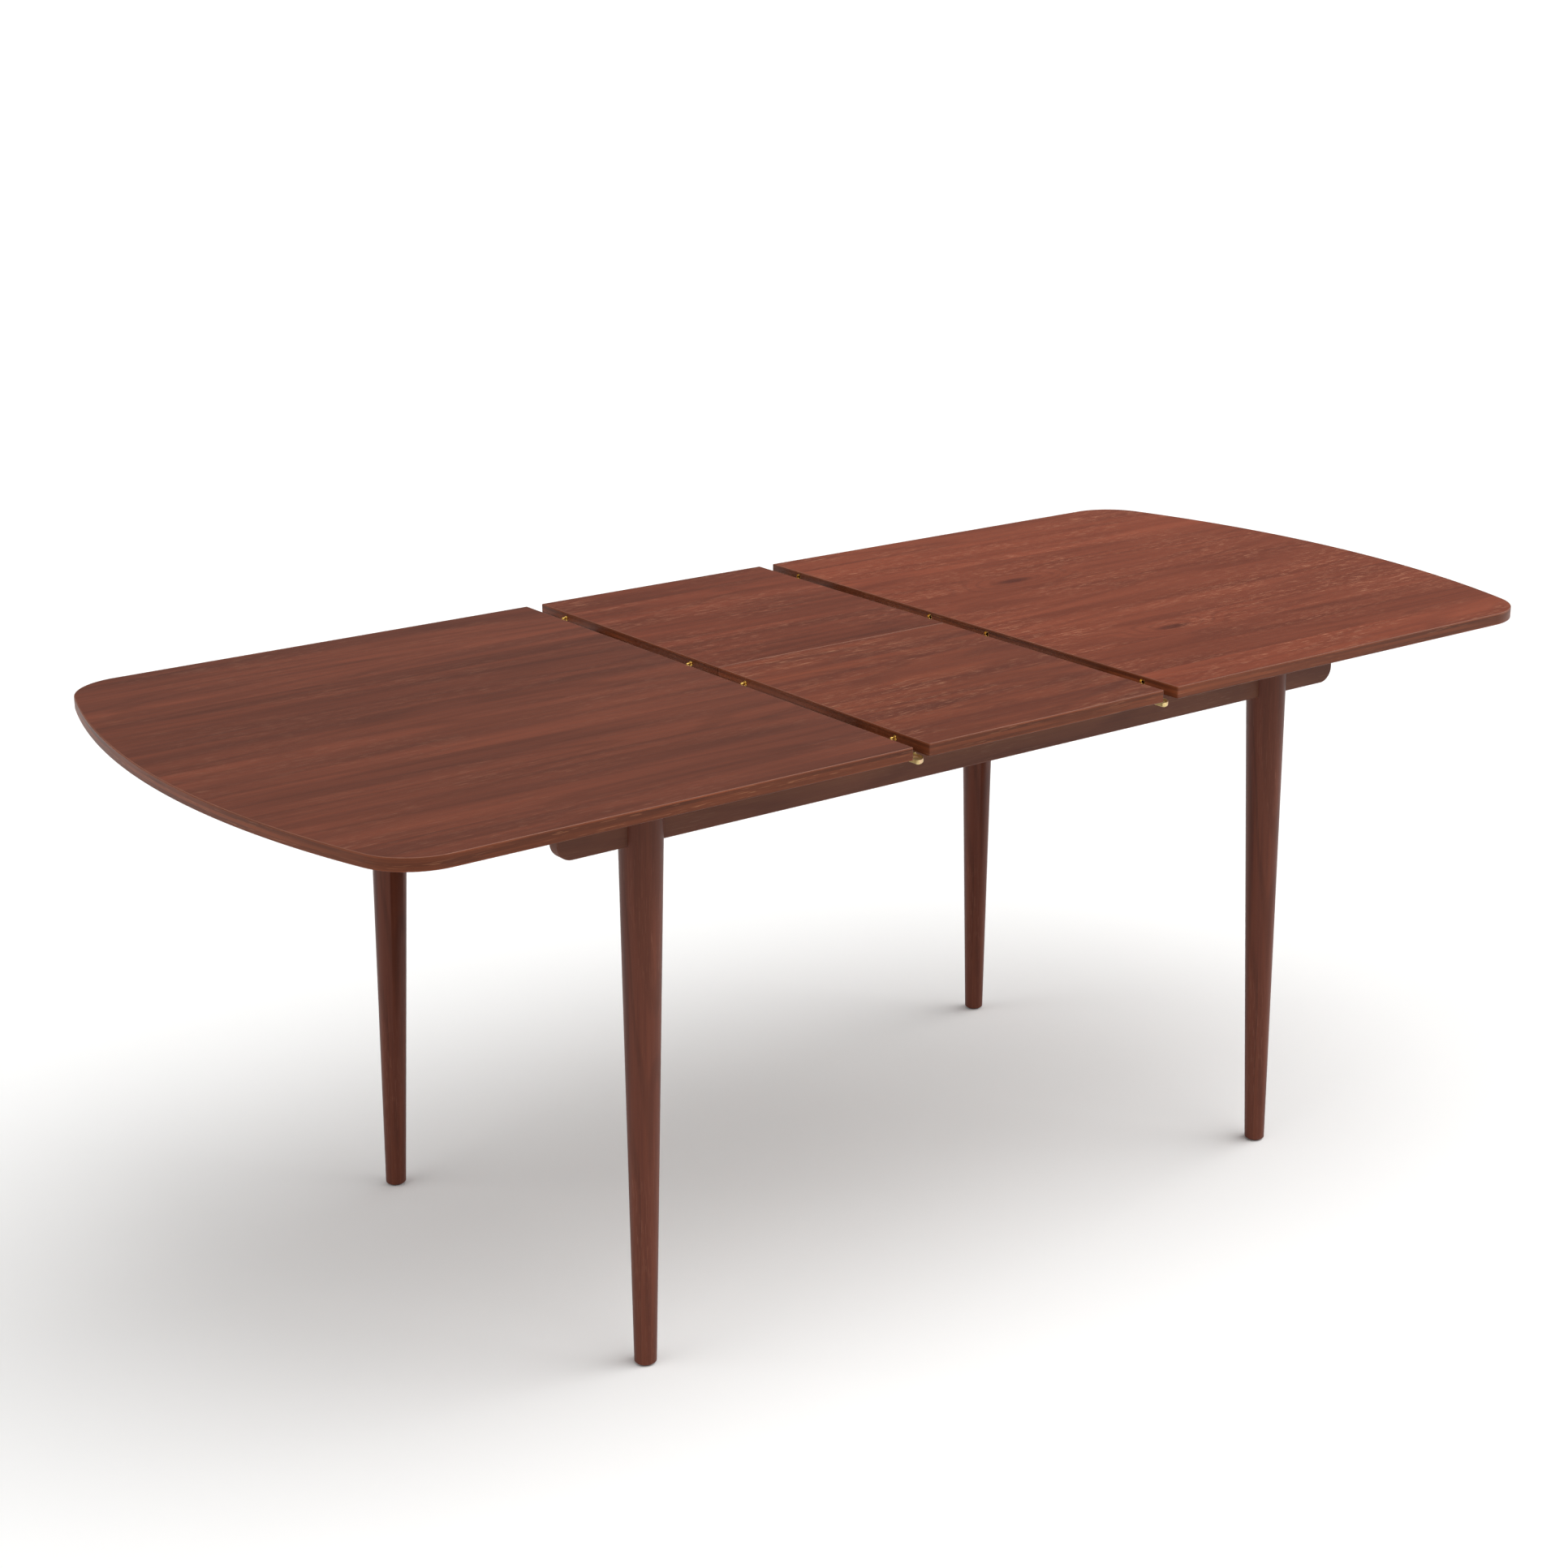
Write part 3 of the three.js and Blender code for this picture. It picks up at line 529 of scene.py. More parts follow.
for side_y, _ in SIDES_Y:
    low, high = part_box(f"leaf_{side_y}")
    veneer = front_veneer if side_y == "front" else rear_veneer
    outline = rounded_box(low[:2], high[:2], ARRIS)
    # The fourth material paints a highlight on the upper arris.
    half = slab(f"leaf_{side_y}_half", outline, low[2], high[2], ARRIS,
                [veneer, edge_band, backing_veneer, arris_painted_highlight])
    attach(half, f"leaf_{side_y}_half")
    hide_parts(f"leaf_{side_y}")


# ---- Alignment pins ----
# Turned brass pins screwed into the leaf's ends: a round-nosed peg with a flat collar that seats
# against the edge band. They enter the sockets as the end tops close up.

PIN_COLLAR = 3.5 * MM
PIN_COLLAR_PROUD = 0.8 * MM
PIN_COLLAR_EDGE = 0.25 * MM
PIN_PEG = 2.0 * MM

for side, sign in SIDES_X:
    leaf_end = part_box("leaf_front")[0][0] if sign < 0 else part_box("leaf_front")[1][0]
    for side_y, _ in SIDES_Y:
        for row in ("inner", "outer"):
            name = f"leaf_pin_{side}_{side_y}_{row}"
            low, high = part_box(name)
            tip = abs((low[0] if sign < 0 else high[0]) - leaf_end)
            root = -abs((high[0] if sign < 0 else low[0]) - leaf_end)
            profile = [
                (0, root), (PIN_PEG, root), (PIN_PEG, 0), (PIN_COLLAR, 0),
                (PIN_COLLAR, PIN_COLLAR_PROUD - PIN_COLLAR_EDGE),
                (PIN_COLLAR - PIN_COLLAR_EDGE, PIN_COLLAR_PROUD),
                (PIN_PEG + PIN_COLLAR_EDGE, PIN_COLLAR_PROUD),
                (PIN_PEG, PIN_COLLAR_PROUD + PIN_COLLAR_EDGE),
            ]
            for i in range(7):
                a = i / 6 * math.pi / 2
                radius = 0 if i == 6 else PIN_PEG * math.cos(a)
                profile.append((radius, tip - PIN_PEG + PIN_PEG * math.sin(a)))
            place = facing((leaf_end, *middle(low, high)[1:]), (sign, 0, 0))
            pin = turned(f"brass_pin_{side}_{side_y}_{row}", profile, place, [brass], 40)
            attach(pin, f"leaf_{side_y}_half")
            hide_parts(name)


# ---- Concealed hinges ----
# Brass barrels pressed into drilled pockets in the seam edges, two across the seam, with the slot
# in which the folding link works. They are out of sight until the leaf folds.

BARREL_CHAMFER = 0.6 * MM
BARREL_SLOT = 1.6 * MM
BARREL_SLOT_DEPTH = 7 * MM
CUTTER_EASE = 0.05 * MM


def on_edge(x, y, h):
    """Stands a slab up: its outline in X and Z, its thickness along Y."""
    return x, h, y


for side, _ in SIDES_X:
    for side_y, sign_y in SIDES_Y:
        name = f"hinge_barrel_{side}_{side_y}"
        low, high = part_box(name)
        mouth = high[1] if sign_y < 0 else low[1]
        radius = (high[2] - low[2]) / 2
        depth = high[1] - low[1]
        x, _, z = middle(low, high)
        barrel = turned(f"hinge_{side}_{side_y}", [
            (0, 0), (radius - BARREL_CHAMFER, 0), (radius, BARREL_CHAMFER), (radius, depth),
            (0, depth)], facing((x, mouth, z), (0, sign_y, 0)), [brass], 40)
        slot_low = (x - BARREL_SLOT, z - 0.7 * radius)
        slot_high = (x + BARREL_SLOT, z + 0.7 * radius)
        ends = sorted((mouth - sign_y * MM, mouth + sign_y * BARREL_SLOT_DEPTH))
        slot = slab("slot", rounded_box(slot_low, slot_high, BARREL_SLOT * 0.9), *ends,
                    CUTTER_EASE, [brass], place=on_edge)
        cut(barrel, [slot])
        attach(barrel, f"leaf_{side_y}_half")
        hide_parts(name)


# ---- Aprons ----
# Two long solid beech boards on edge with rounded lower ends, stained walnut and given a thin
# matt lacquer, so the grain shows only faintly and the face reflects little.

APRON_END_RADIUS = 20 * MM
APRON_ARRIS = 1.8 * MM
apron_wood = sawn_wood("walnut stained beech apron",
                       ("#48251C", "#613728", "#6E4330", "#825B48"),
                       seed=61.0, strip=300 * MM, pore_strength=0.45, gloss=0.5)


for side_y, _ in SIDES_Y:
    low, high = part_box(f"apron_{side_y}")
    r = APRON_END_RADIUS
    quarter = math.pi / 2
    outline = (arc(low[0] + r, low[2] + r, r, 2 * quarter, 3 * quarter, 14)
               + arc(high[0] - r, low[2] + r, r, -quarter, 0, 14)
               + arc(high[0] - ARRIS, high[2] - ARRIS, ARRIS, 0, quarter, 3)
               + arc(low[0] + ARRIS, high[2] - ARRIS, ARRIS, quarter, 2 * quarter, 3))
    apron = slab(f"{side_y}_apron", outline, low[1], high[1], APRON_ARRIS, [apron_wood],
                 place=on_edge)
    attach(apron, "frame")
    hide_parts(f"apron_{side_y}")


# ---- Legs ----
# Solid beech turned to a long taper and splayed outwards. The top is lapped: the back half is cut
# away so that the apron sits on the ledge, and the front half runs up in front of the apron.

LEG_FOOT_RADIUS = 13.8 * MM
LEG_TAPER = 0.0208
LEG_TOE = 2.5 * MM
LEG_SPLAY = (0.0216, 0.0155)
LEG_FOOT_SPACING = (526 * MM, 307.7 * MM)
LAP_GAP = 0.1 * MM
leg_wood = sawn_wood("walnut stained beech leg",
                     ("#391B11", "#592C1F", "#6F3B29", "#885744"),
                     seed=71.0, strip=500 * MM, pore_strength=0.5, gloss=0.4)

for side, sign in SIDES_X:
    for side_y, sign_y in SIDES_Y:
        name = f"leg_{side_y}_{side}"
        low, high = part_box(name)
        a_low, a_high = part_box(f"apron_{side_y}")
        top_radius = LEG_FOOT_RADIUS + LEG_TAPER * (high[2] - low[2])
        profile = [(0, low[2])]
        for i in range(7):
            a = i / 6 * math.pi / 2
            profile.append((LEG_FOOT_RADIUS - LEG_TOE * (1 - math.sin(a)),
                            low[2] + LEG_TOE * (1 - math.cos(a))))
        profile += [(top_radius - ARRIS, high[2] - ARRIS), (top_radius - 2 * ARRIS, high[2]),
                    (0, high[2])]
        lean = Matrix((
            (1, 0, -sign * LEG_SPLAY[0], sign * LEG_FOOT_SPACING[0]),
            (0, 1, -sign_y * LEG_SPLAY[1], sign_y * LEG_FOOT_SPACING[1]),
            (0, 0, 1, 0),
            (0, 0, 0, 1),
        ))
        leg = turned(f"{side_y}_{side}_leg", profile, lean, [leg_wood], 96)
        face = a_low[1] - LAP_GAP if sign_y < 0 else a_high[1] + LAP_GAP
        x = sign * (LEG_FOOT_SPACING[0] - LEG_SPLAY[0] * high[2])
        reach = 2 * top_radius
        span = sorted((face, face - sign_y * 2 * reach))
        lap = slab("lap", rounded_box((x - reach, span[0]), (x + reach, span[1]), 0.1 * MM),
                   a_low[2] - LAP_GAP, high[2] + 2 * MM, CUTTER_EASE, [leg_wood])
        cut(leg, [lap])
        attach(leg, "frame")
        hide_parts(name)


# ---- Foot glides ----
# Discs of pressed wool felt glued under the legs, their rims a little furred and rounded.

felt, felt_tree, felt_shader = new_material("pressed wool felt", {
    "Roughness": 0.95, "Sheen Weight": 0.4, "Sheen Roughness": 0.5})
FELT_FIBRE = 0.35 * MM
felt_place = node(felt_tree, "ShaderNodeTexCoord", {}, {})
felt_fibres = node(felt_tree, "ShaderNodeTexNoise", {}, {
    "Vector": felt_place.outputs["Object"], "Scale": 1 / FELT_FIBRE, "Detail": 4.0})
felt_colour = node(felt_tree, "ShaderNodeMix", {"data_type": "RGBA"}, {
    0: felt_fibres.outputs["Fac"], 6: linear("#2C211D"), 7: linear("#5A4A42")})
felt_tree.links.new(felt_colour.outputs[2], felt_shader.inputs["Base Color"])
felt_bump = node(felt_tree, "ShaderNodeBump", {}, {
    "Strength": 0.8, "Distance": 0.2 * MM, "Height": felt_fibres.outputs["Fac"]})
felt_tree.links.new(felt_bump.outputs[0], felt_shader.inputs["Normal"])

FELT_RIM = 0.5 * MM
FELT_SHARP_ANGLE = 70
for side, _ in SIDES_X:
    for side_y, _ in SIDES_Y:
        name = f"foot_glide_{side_y}_{side}"
        low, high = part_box(name)
        radius = (high[0] - low[0]) / 2
        x, y, _ = middle(low, high)
        glide = turned(f"felt_glide_{side_y}_{side}", [
            (0, low[2]), (radius - FELT_RIM, low[2]), (radius, low[2] + FELT_RIM),
            (radius, high[2] - FELT_RIM), (radius - FELT_RIM, high[2]), (0, high[2])],
            Matrix.Translation((x, y, 0)), [felt], 48, FELT_SHARP_ANGLE)
        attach(glide, "frame")
        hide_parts(name)


# ---- Leg bolts ----
# Bright zinc plated socket-head bolts with plain washers, one through each apron into its leg.

ROLLED_LINE_LENGTH = 11.11 * MM
ROLLED_LINE_WIDTH = 0.3125 * MM


def plated_steel(name, tones, rough, patch_size):
    """Zinc plated steel: soft clouding of the passivated film over fine rolled lines."""
    material, tree, shader = new_material(name, {"Metallic": 1.0})
    spot = node(tree, "ShaderNodeTexCoord", {}, {})
    cloud = node(tree, "ShaderNodeTexNoise", {}, {
        "Vector": spot.outputs["Object"], "Scale": 1 / patch_size, "Detail": 2.0,
        "Distortion": 0.8})
    tint = node(tree, "ShaderNodeTexNoise", {}, {
        "Vector": spot.outputs["Object"], "Scale": 0.55 / patch_size, "Detail": 1.0,
        "Distortion": 1.5})
    first, second, third = [linear(code) for code in tones]
    spread = node(tree, "ShaderNodeMapRange", {"interpolation_type": "SMOOTHSTEP"}, {
        "Value": cloud.outputs["Fac"], "From Min": 0.35, "From Max": 0.65})
    warm = node(tree, "ShaderNodeMapRange", {"interpolation_type": "SMOOTHSTEP"}, {
        "Value": tint.outputs["Fac"], "From Min": 0.45, "From Max": 0.65, "To Max": 0.8})
    colour = node(tree, "ShaderNodeMix", {"data_type": "RGBA"},
                  {0: spread.outputs[0], 6: first, 7: second})
    colour = node(tree, "ShaderNodeMix", {"data_type": "RGBA"},
                  {0: warm.outputs[0], 6: colour.outputs[2], 7: third})
    tree.links.new(colour.outputs[2], shader.inputs["Base Color"])
    haze = node(tree, "ShaderNodeMapRange", {}, {
        "Value": cloud.outputs["Fac"], "From Min": 0.3, "From Max": 0.7,
        "To Min": rough, "To Max": rough + 0.14})
    tree.links.new(haze.outputs[0], shader.inputs["Roughness"])
    scratch_place = node(tree, "ShaderNodeVectorMath", {"operation": "MULTIPLY"},
                         {0: spot.outputs["Object"], 1: (
                             1 / ROLLED_LINE_LENGTH, 1 / ROLLED_LINE_WIDTH,
                             1 / ROLLED_LINE_WIDTH)})
    lines = node(tree, "ShaderNodeTexNoise", {}, {
        "Vector": scratch_place.outputs[0], "Scale": 1.0, "Detail": 2.0})
    bump = node(tree, "ShaderNodeBump", {}, {
        "Strength": 0.12, "Distance": METAL_RELIEF, "Height": lines.outputs["Fac"]})
    tree.links.new(bump.outputs[0], shader.inputs["Normal"])
    return material


bright_zinc = plated_steel("bright zinc plated steel", ("#B4B7BB", "#C8CACD", "#A9AEB6"),
                           0.28, 9 * MM)
BOLT_CHAMFER = 0.7 * MM
BOLT_HEAD = 5 * MM
BOLT_SHANK = 4 * MM
WASHER_RADIUS = 9 * MM
WASHER_TOP = BOLT_HEAD - 1.2 * MM
KEY_RADIUS = 2.9 * MM
KEY_DEPTH = 3 * MM

for side, _ in SIDES_X:
    for side_y, sign_y in SIDES_Y:
        name = f"leg_bolt_{side_y}_{side}"
        low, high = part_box(name)
        radius = (high[0] - low[0]) / 2
        x, _, z = middle(low, high)
        head = high[1] if sign_y < 0 else low[1]
        length = high[1] - low[1]
        place = facing((x, head, z), (0, sign_y, 0))
        bolt = turned(f"bolt_{side_y}_{side}", [
            (0, 0), (radius - BOLT_CHAMFER, 0), (radius, BOLT_CHAMFER),
            (radius, BOLT_HEAD), (BOLT_SHANK, BOLT_HEAD), (BOLT_SHANK, length), (0, length)],
            place, [bright_zinc], 40)
        key = turned("key", [(0, -MM), (KEY_RADIUS, -MM), (KEY_RADIUS, KEY_DEPTH),
                             (0, KEY_DEPTH)], place, [bright_zinc], 6)
        cut(bolt, [key])
        washer = turned(f"washer_{side_y}_{side}", [
            (BOLT_SHANK, BOLT_HEAD), (WASHER_RADIUS, BOLT_HEAD), (WASHER_RADIUS, WASHER_TOP),
            (radius, WASHER_TOP), (BOLT_SHANK, WASHER_TOP), (BOLT_SHANK, BOLT_HEAD)],
            place, [bright_zinc], 48)
        for piece in (bolt, washer):
            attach(piece, "frame")
        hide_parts(name)


# ---- Cross rails, leaf bearers and runners ----
# Unfinished beech under the table: rails glued between the aprons, bearers on which the folded
# leaf is stowed, and the runners screwed up into the end tops.

HIDDEN_ARRIS = 1.5 * MM
BAR_CORNER = 2.2 * MM
raw_beech = sawn_wood("unfinished planed beech",
                      ("#94714F", "#B58C64", "#C49D75", "#8A6847"),
                      seed=83.0, strip=200 * MM, pore_strength=0.5, gloss=0.6)


def across(x, y, h):
    """Lays a slab's outline length along Y, its thickness up."""
    return y, x, h


def beech_bar(name, node_name, body, place, wells=()):
    """A planed bar that fills its box, eased all round, its grain along its length, with
    any screw wells that are given bored in it."""
    low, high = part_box(node_name)
    first, second = (0, 1) if place is flat else (1, 0)
    outline = rounded_box((low[first], low[second]), (high[first], high[second]), BAR_CORNER)
    piece = slab(name, outline, low[2], high[2], HIDDEN_ARRIS, [raw_beech], place=place)
    if wells:
        cut(piece, wells)
    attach(piece, body)
    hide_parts(node_name)


for side, _ in SIDES_X:
    beech_bar(f"{side}_rail", f"cross_rail_{side}", "frame", across)
for side_y, _ in SIDES_Y:
    beech_bar(f"{side_y}_bearer", f"leaf_bearer_{side_y}", "frame", flat)

SCREW_HEAD = 3.6 * MM
SCREW_DOME = 1.1 * MM
SCREW_CROSS = 0.35 * MM
SCREW_WELL = 4.4 * MM
SCREW_WELL_DEPTH = 3 * MM
SCREW_SPACING = 180 * MM


def screw(name, point, body):
    """A bright zinc cross-head screw seen from below, its dome pointing down."""
    profile = [(0, 0), (SCREW_HEAD, 0)]
    for i in range(6):
        a = i / 5 * math.pi / 2
        radius = 0 if i == 5 else SCREW_HEAD * math.cos(a)
        profile.append((radius, 0.3 * MM + SCREW_DOME * math.sin(a)))
    place = facing(point, (0, 0, -1))
    head = turned(name, profile, place, [bright_zinc], 32)
    arms = []
    for half_x, half_y in ((SCREW_HEAD * 0.6, SCREW_CROSS), (SCREW_CROSS, SCREW_HEAD * 0.6)):
        cross = rounded_box((point[0] - half_x, point[1] - half_y),
                            (point[0] + half_x, point[1] + half_y), 0.05 * MM)
        arms.append(slab("cross", cross, point[2] - 3 * MM, point[2] - 0.5 * MM, 0.02 * MM,
                         [bright_zinc]))
    cut(head, arms)
    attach(head, body)


for side, _ in SIDES_X:
    for side_y, _ in SIDES_Y:
        name = f"runner_{side}_{side_y}"
        low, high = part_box(name)
        x, y, _ = middle(low, high)
        wells = []
        for step in (-1, 0, 1):
            point = (x + step * SCREW_SPACING, y, low[2])
            wells.append(turned("well", [
                (0, -MM), (SCREW_WELL, -MM), (SCREW_WELL, SCREW_WELL_DEPTH),
                (0, SCREW_WELL_DEPTH)], facing(point, (0, 0, 1)), [raw_beech], 32))
        beech_bar(f"{side}_{side_y}_runner", name, f"{side}_end_top", flat, wells)
        for step in (-1, 0, 1):
            screw(f"runner_screw_{side}_{side_y}_{step + 1}",
                  (x + step * SCREW_SPACING, y, low[2] + SCREW_WELL_DEPTH), f"{side}_end_top")


# ---- Slide channels ----
# Steel strip folded into a U and zinc plated, screwed inside the aprons; the beech runners slide
# in them. The folds have the small inside and outside radii that a press brake leaves.

CHANNEL_WALL = 2.5 * MM
CHANNEL_FOLD = 1.2 * MM
CHANNEL_LIP = 0.4 * MM


def along_table(x, y, h):
    """Turns a section in Y and Z into a length along X."""
    return h, x, y


for side_y, _ in SIDES_Y:
    name = f"slide_channel_{side_y}"
    low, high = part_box(name)
    y0, y1, z0, z1 = low[1], high[1], low[2], high[2]
    wall, fold, lip = CHANNEL_WALL, CHANNEL_FOLD, CHANNEL_LIP
    outer = fold + wall
    q = math.pi / 2
    section = (arc(y0 + outer, z0 + outer, outer, 2 * q, 3 * q, 6)
               + arc(y1 - outer, z0 + outer, outer, -q, 0, 6)
               + arc(y1 - lip, z1 - lip, lip, 0, q, 3)
               + arc(y1 - wall + lip, z1 - lip, lip, q, 2 * q, 3)
               + arc(y1 - wall - fold, z0 + wall + fold, fold, 0, -q, 5)
               + arc(y0 + wall + fold, z0 + wall + fold, fold, 3 * q, 2 * q, 5)
               + arc(y0 + wall - lip, z1 - lip, lip, 0, q, 3)
               + arc(y0 + lip, z1 - lip, lip, q, 2 * q, 3))
    channel = slab(f"{side_y}_channel", section, low[0], high[0], 0.25 * MM, [bright_zinc],
                   place=along_table)
    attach(channel, "frame")
    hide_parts(name)


# ---- Locks ----
# A thumb lever pressed from sheet steel: a round heel, an arm and a half-moon tray with its rim
# turned up and a curl at the rim's end. It is riveted to a plate screwed under the edge and hooks
# round a stud on the next piece. Yellow zinc plating gives a straw colour with a pink cast.

yellow_zinc = plated_steel("yellow zinc plated pressed steel",
                           ("#E0CB8F", "#D4BC86", "#DDB89B"), 0.42, 7 * MM)
TRAY_RADIUS = 18 * MM
HEEL_RADIUS = 10 * MM
TRAY_CENTRE = 34 * MM
TRAY_OFFSET = 13 * MM
TRAY_CORNER = 3 * MM
RIVET_HOLE = 4.2 * MM
SHEET = 1.5 * MM
RIM_WALL = 1.2 * MM
RIM_HEIGHT = 4 * MM
RIM_END = math.radians(25)
RIM_FADE = math.radians(14)
CURL_RADIUS = 2 * MM
CURL_WALL = 0.9 * MM
CURL_EDGE = 0.25 * MM
CURL_TURN = 1.7 * math.pi
LEVER_SHARP_ANGLE = 55
TRAY_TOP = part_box("lock_lever_left_front")[0][2] + SHEET


def smooth(value):
    """Eases a value from 0 to 1."""
    value = min(max(value, 0.0), 1.0)
    return value * value * (3 - 2 * value)


def lever_outline():
    """(x, y, rim height) round the lever, anticlockwise from the top of its heel.
    An arm leads from the heel to a half-moon tray, cut straight on the side next to the heel."""
    spread = math.hypot(TRAY_CENTRE, TRAY_OFFSET)
    tangent = (math.acos((TRAY_RADIUS - HEEL_RADIUS) / spread)
               - math.atan2(TRAY_OFFSET, TRAY_CENTRE))
    quarter = math.pi / 2
    points = [(x, y, 0.0) for x, y in arc(0, 0, HEEL_RADIUS, tangent, 3 * quarter, 36)]
    arm_end = TRAY_CENTRE - TRAY_CORNER
    for i in range(1, 10):
        points.append((arm_end * i / 10, -HEEL_RADIUS, RIM_HEIGHT * smooth((i - 4) / 5)))
    cut_side = arc(arm_end, -HEEL_RADIUS - TRAY_CORNER, TRAY_CORNER, quarter, 0, 4)
    inner = TRAY_RADIUS - TRAY_CORNER
    turn = math.acos(TRAY_CORNER / inner)
    low_y = -TRAY_OFFSET - inner * math.sin(turn)
    cut_side += arc(TRAY_CENTRE + TRAY_CORNER, low_y, TRAY_CORNER, -2 * quarter, -turn, 6)
    points += [(x, y, RIM_HEIGHT) for x, y in cut_side]
    for x, y in arc(TRAY_CENTRE, -TRAY_OFFSET, TRAY_RADIUS, -turn, tangent, 60)[1:]:
        fade = 1 - smooth((math.atan2(y + TRAY_OFFSET, x - TRAY_CENTRE) - RIM_END) / RIM_FADE)
        points.append((x, y, RIM_HEIGHT * fade))
    last, first = points[-1], points[0]
    for i in range(1, 12):
        t = i / 12
        points.append((last[0] + (first[0] - last[0]) * t, last[1] + (first[1] - last[1]) * t,
                       0.0))
    return points


def lever(name, pivot, flip, curl_top):
    """The pressed lever, pivot at the given point, mirrored in Y for the far side."""
    floor = TRAY_TOP - SHEET
    points = lever_outline()
    plan = [(x, y) for x, y, _ in points]
    rows = []
    for i in range(5):
        a = i / 4 * math.pi / 2
        rows.append([(SHEET * (1 - math.sin(a)), floor + SHEET * (1 - math.cos(a)) * 0.6)]
                    * len(points))
    half = RIM_WALL / 2
    for i in range(7):
        a = i / 6 * math.pi
        rows.append([(half * (1 - math.cos(a)),
                      max(TRAY_TOP + rise - half * (1 - math.sin(a)),
                          TRAY_TOP if i > 3 else floor + SHEET * 0.7))
                     for _, _, rise in points])
    for inset, lift in ((0.05, 0.9), (0.25, 0.35), (0.6, 0.1), (1.1, 0.0)):
        rows.append([(RIM_WALL + inset * MM, TRAY_TOP + min(lift * MM, rise))
                     for _, _, rise in points])
    mesh = bmesh.new()
    uv = mesh.loops.layers.uv.new("UVMap")

    def put(x, y, z):
        return mesh.verts.new((pivot[0] + x, pivot[1] + flip * y, z))

    grid = []
    for row in rows:
        loop = inset_loop(plan, row[0][0])
        grid.append([put(p.x, p.y, z) for p, (_, z) in zip(loop, row)])
    for low_ring, high_ring in zip(grid, grid[1:]):
        for i in range(len(plan)):
            j = (i + 1) % len(plan)
            mesh.faces.new((low_ring[i], low_ring[j], high_ring[j], high_ring[i]))
    mesh.faces.new(grid[0])
    mesh.faces.new(grid[-1])

    curl_angle = RIM_END + CURL_RADIUS * 0.6 / TRAY_RADIUS
    curl_place = TRAY_RADIUS + CURL_RADIUS - RIM_WALL
    curl_x = TRAY_CENTRE + curl_place * math.cos(curl_angle)
    curl_y = curl_place * math.sin(curl_angle) - TRAY_OFFSET
    low_z, high_z = TRAY_TOP - SHEET / 2, curl_top
    section = [(0, low_z), (0, high_z - CURL_EDGE), (CURL_EDGE, high_z),
               (CURL_WALL - CURL_EDGE, high_z), (CURL_WALL, high_z - CURL_EDGE),
               (CURL_WALL, low_z)]
    turns = []
    for i in range(33):
        a = math.pi + CURL_TURN * i / 32
        turns.append([put(curl_x + (CURL_RADIUS - depth) * math.cos(a),
                          curl_y + (CURL_RADIUS - depth) * math.sin(a), z)
                      for depth, z in section])
    for one, two in zip(turns, turns[1:]):
        for i in range(len(section)):
            j = (i + 1) % len(section)
            mesh.faces.new((one[i], one[j], two[j], two[i]))
    mesh.faces.new(turns[0])
    mesh.faces.new(list(reversed(turns[-1])))
    bmesh.ops.recalc_face_normals(mesh, faces=mesh.faces)
    for face in mesh.faces:
        for corner in face.loops:
            corner[uv].uv = corner.vert.co.xy
    obj = finished(mesh, name, [yellow_zinc], LEVER_SHARP_ANGLE)
    cut(obj, [turned(f"{name}_hole", [(0, floor - MM), (RIVET_HOLE, floor - MM),
                                      (RIVET_HOLE, TRAY_TOP + MM), (0, TRAY_TOP + MM)],
                     Matrix.Translation((pivot[0], pivot[1], 0)), [yellow_zinc], 40)])
    return obj


pivot_of = {}
for joint in frame["record"]["behaviour"]["joints"]:
    if joint["name"].startswith("lock_"):
        pivot_of[joint["name"][len("lock_"):-len("_swing")]] = joint["pos_m"]

PLATE_THICKNESS = 1.9 * MM
PLATE_CORNER = 4 * MM
PLATE_EDGE = 0.4 * MM
RIVET_HEAD = 6.5 * MM
RIVET_FACE = 4.6 * MM
RIVET_SHANK = 4 * MM
RIVET_DISH = 0.3 * MM
RIVET_HEAD_EDGE = 0.8 * MM
RIVET_GAP = 0.2 * MM
STUD_SHANK = 2 * MM
STUD_FLANGE = 1.4 * MM
STUD_EDGE = 0.4 * MM
PLATE_SCREW_INSET = 5.5 * MM

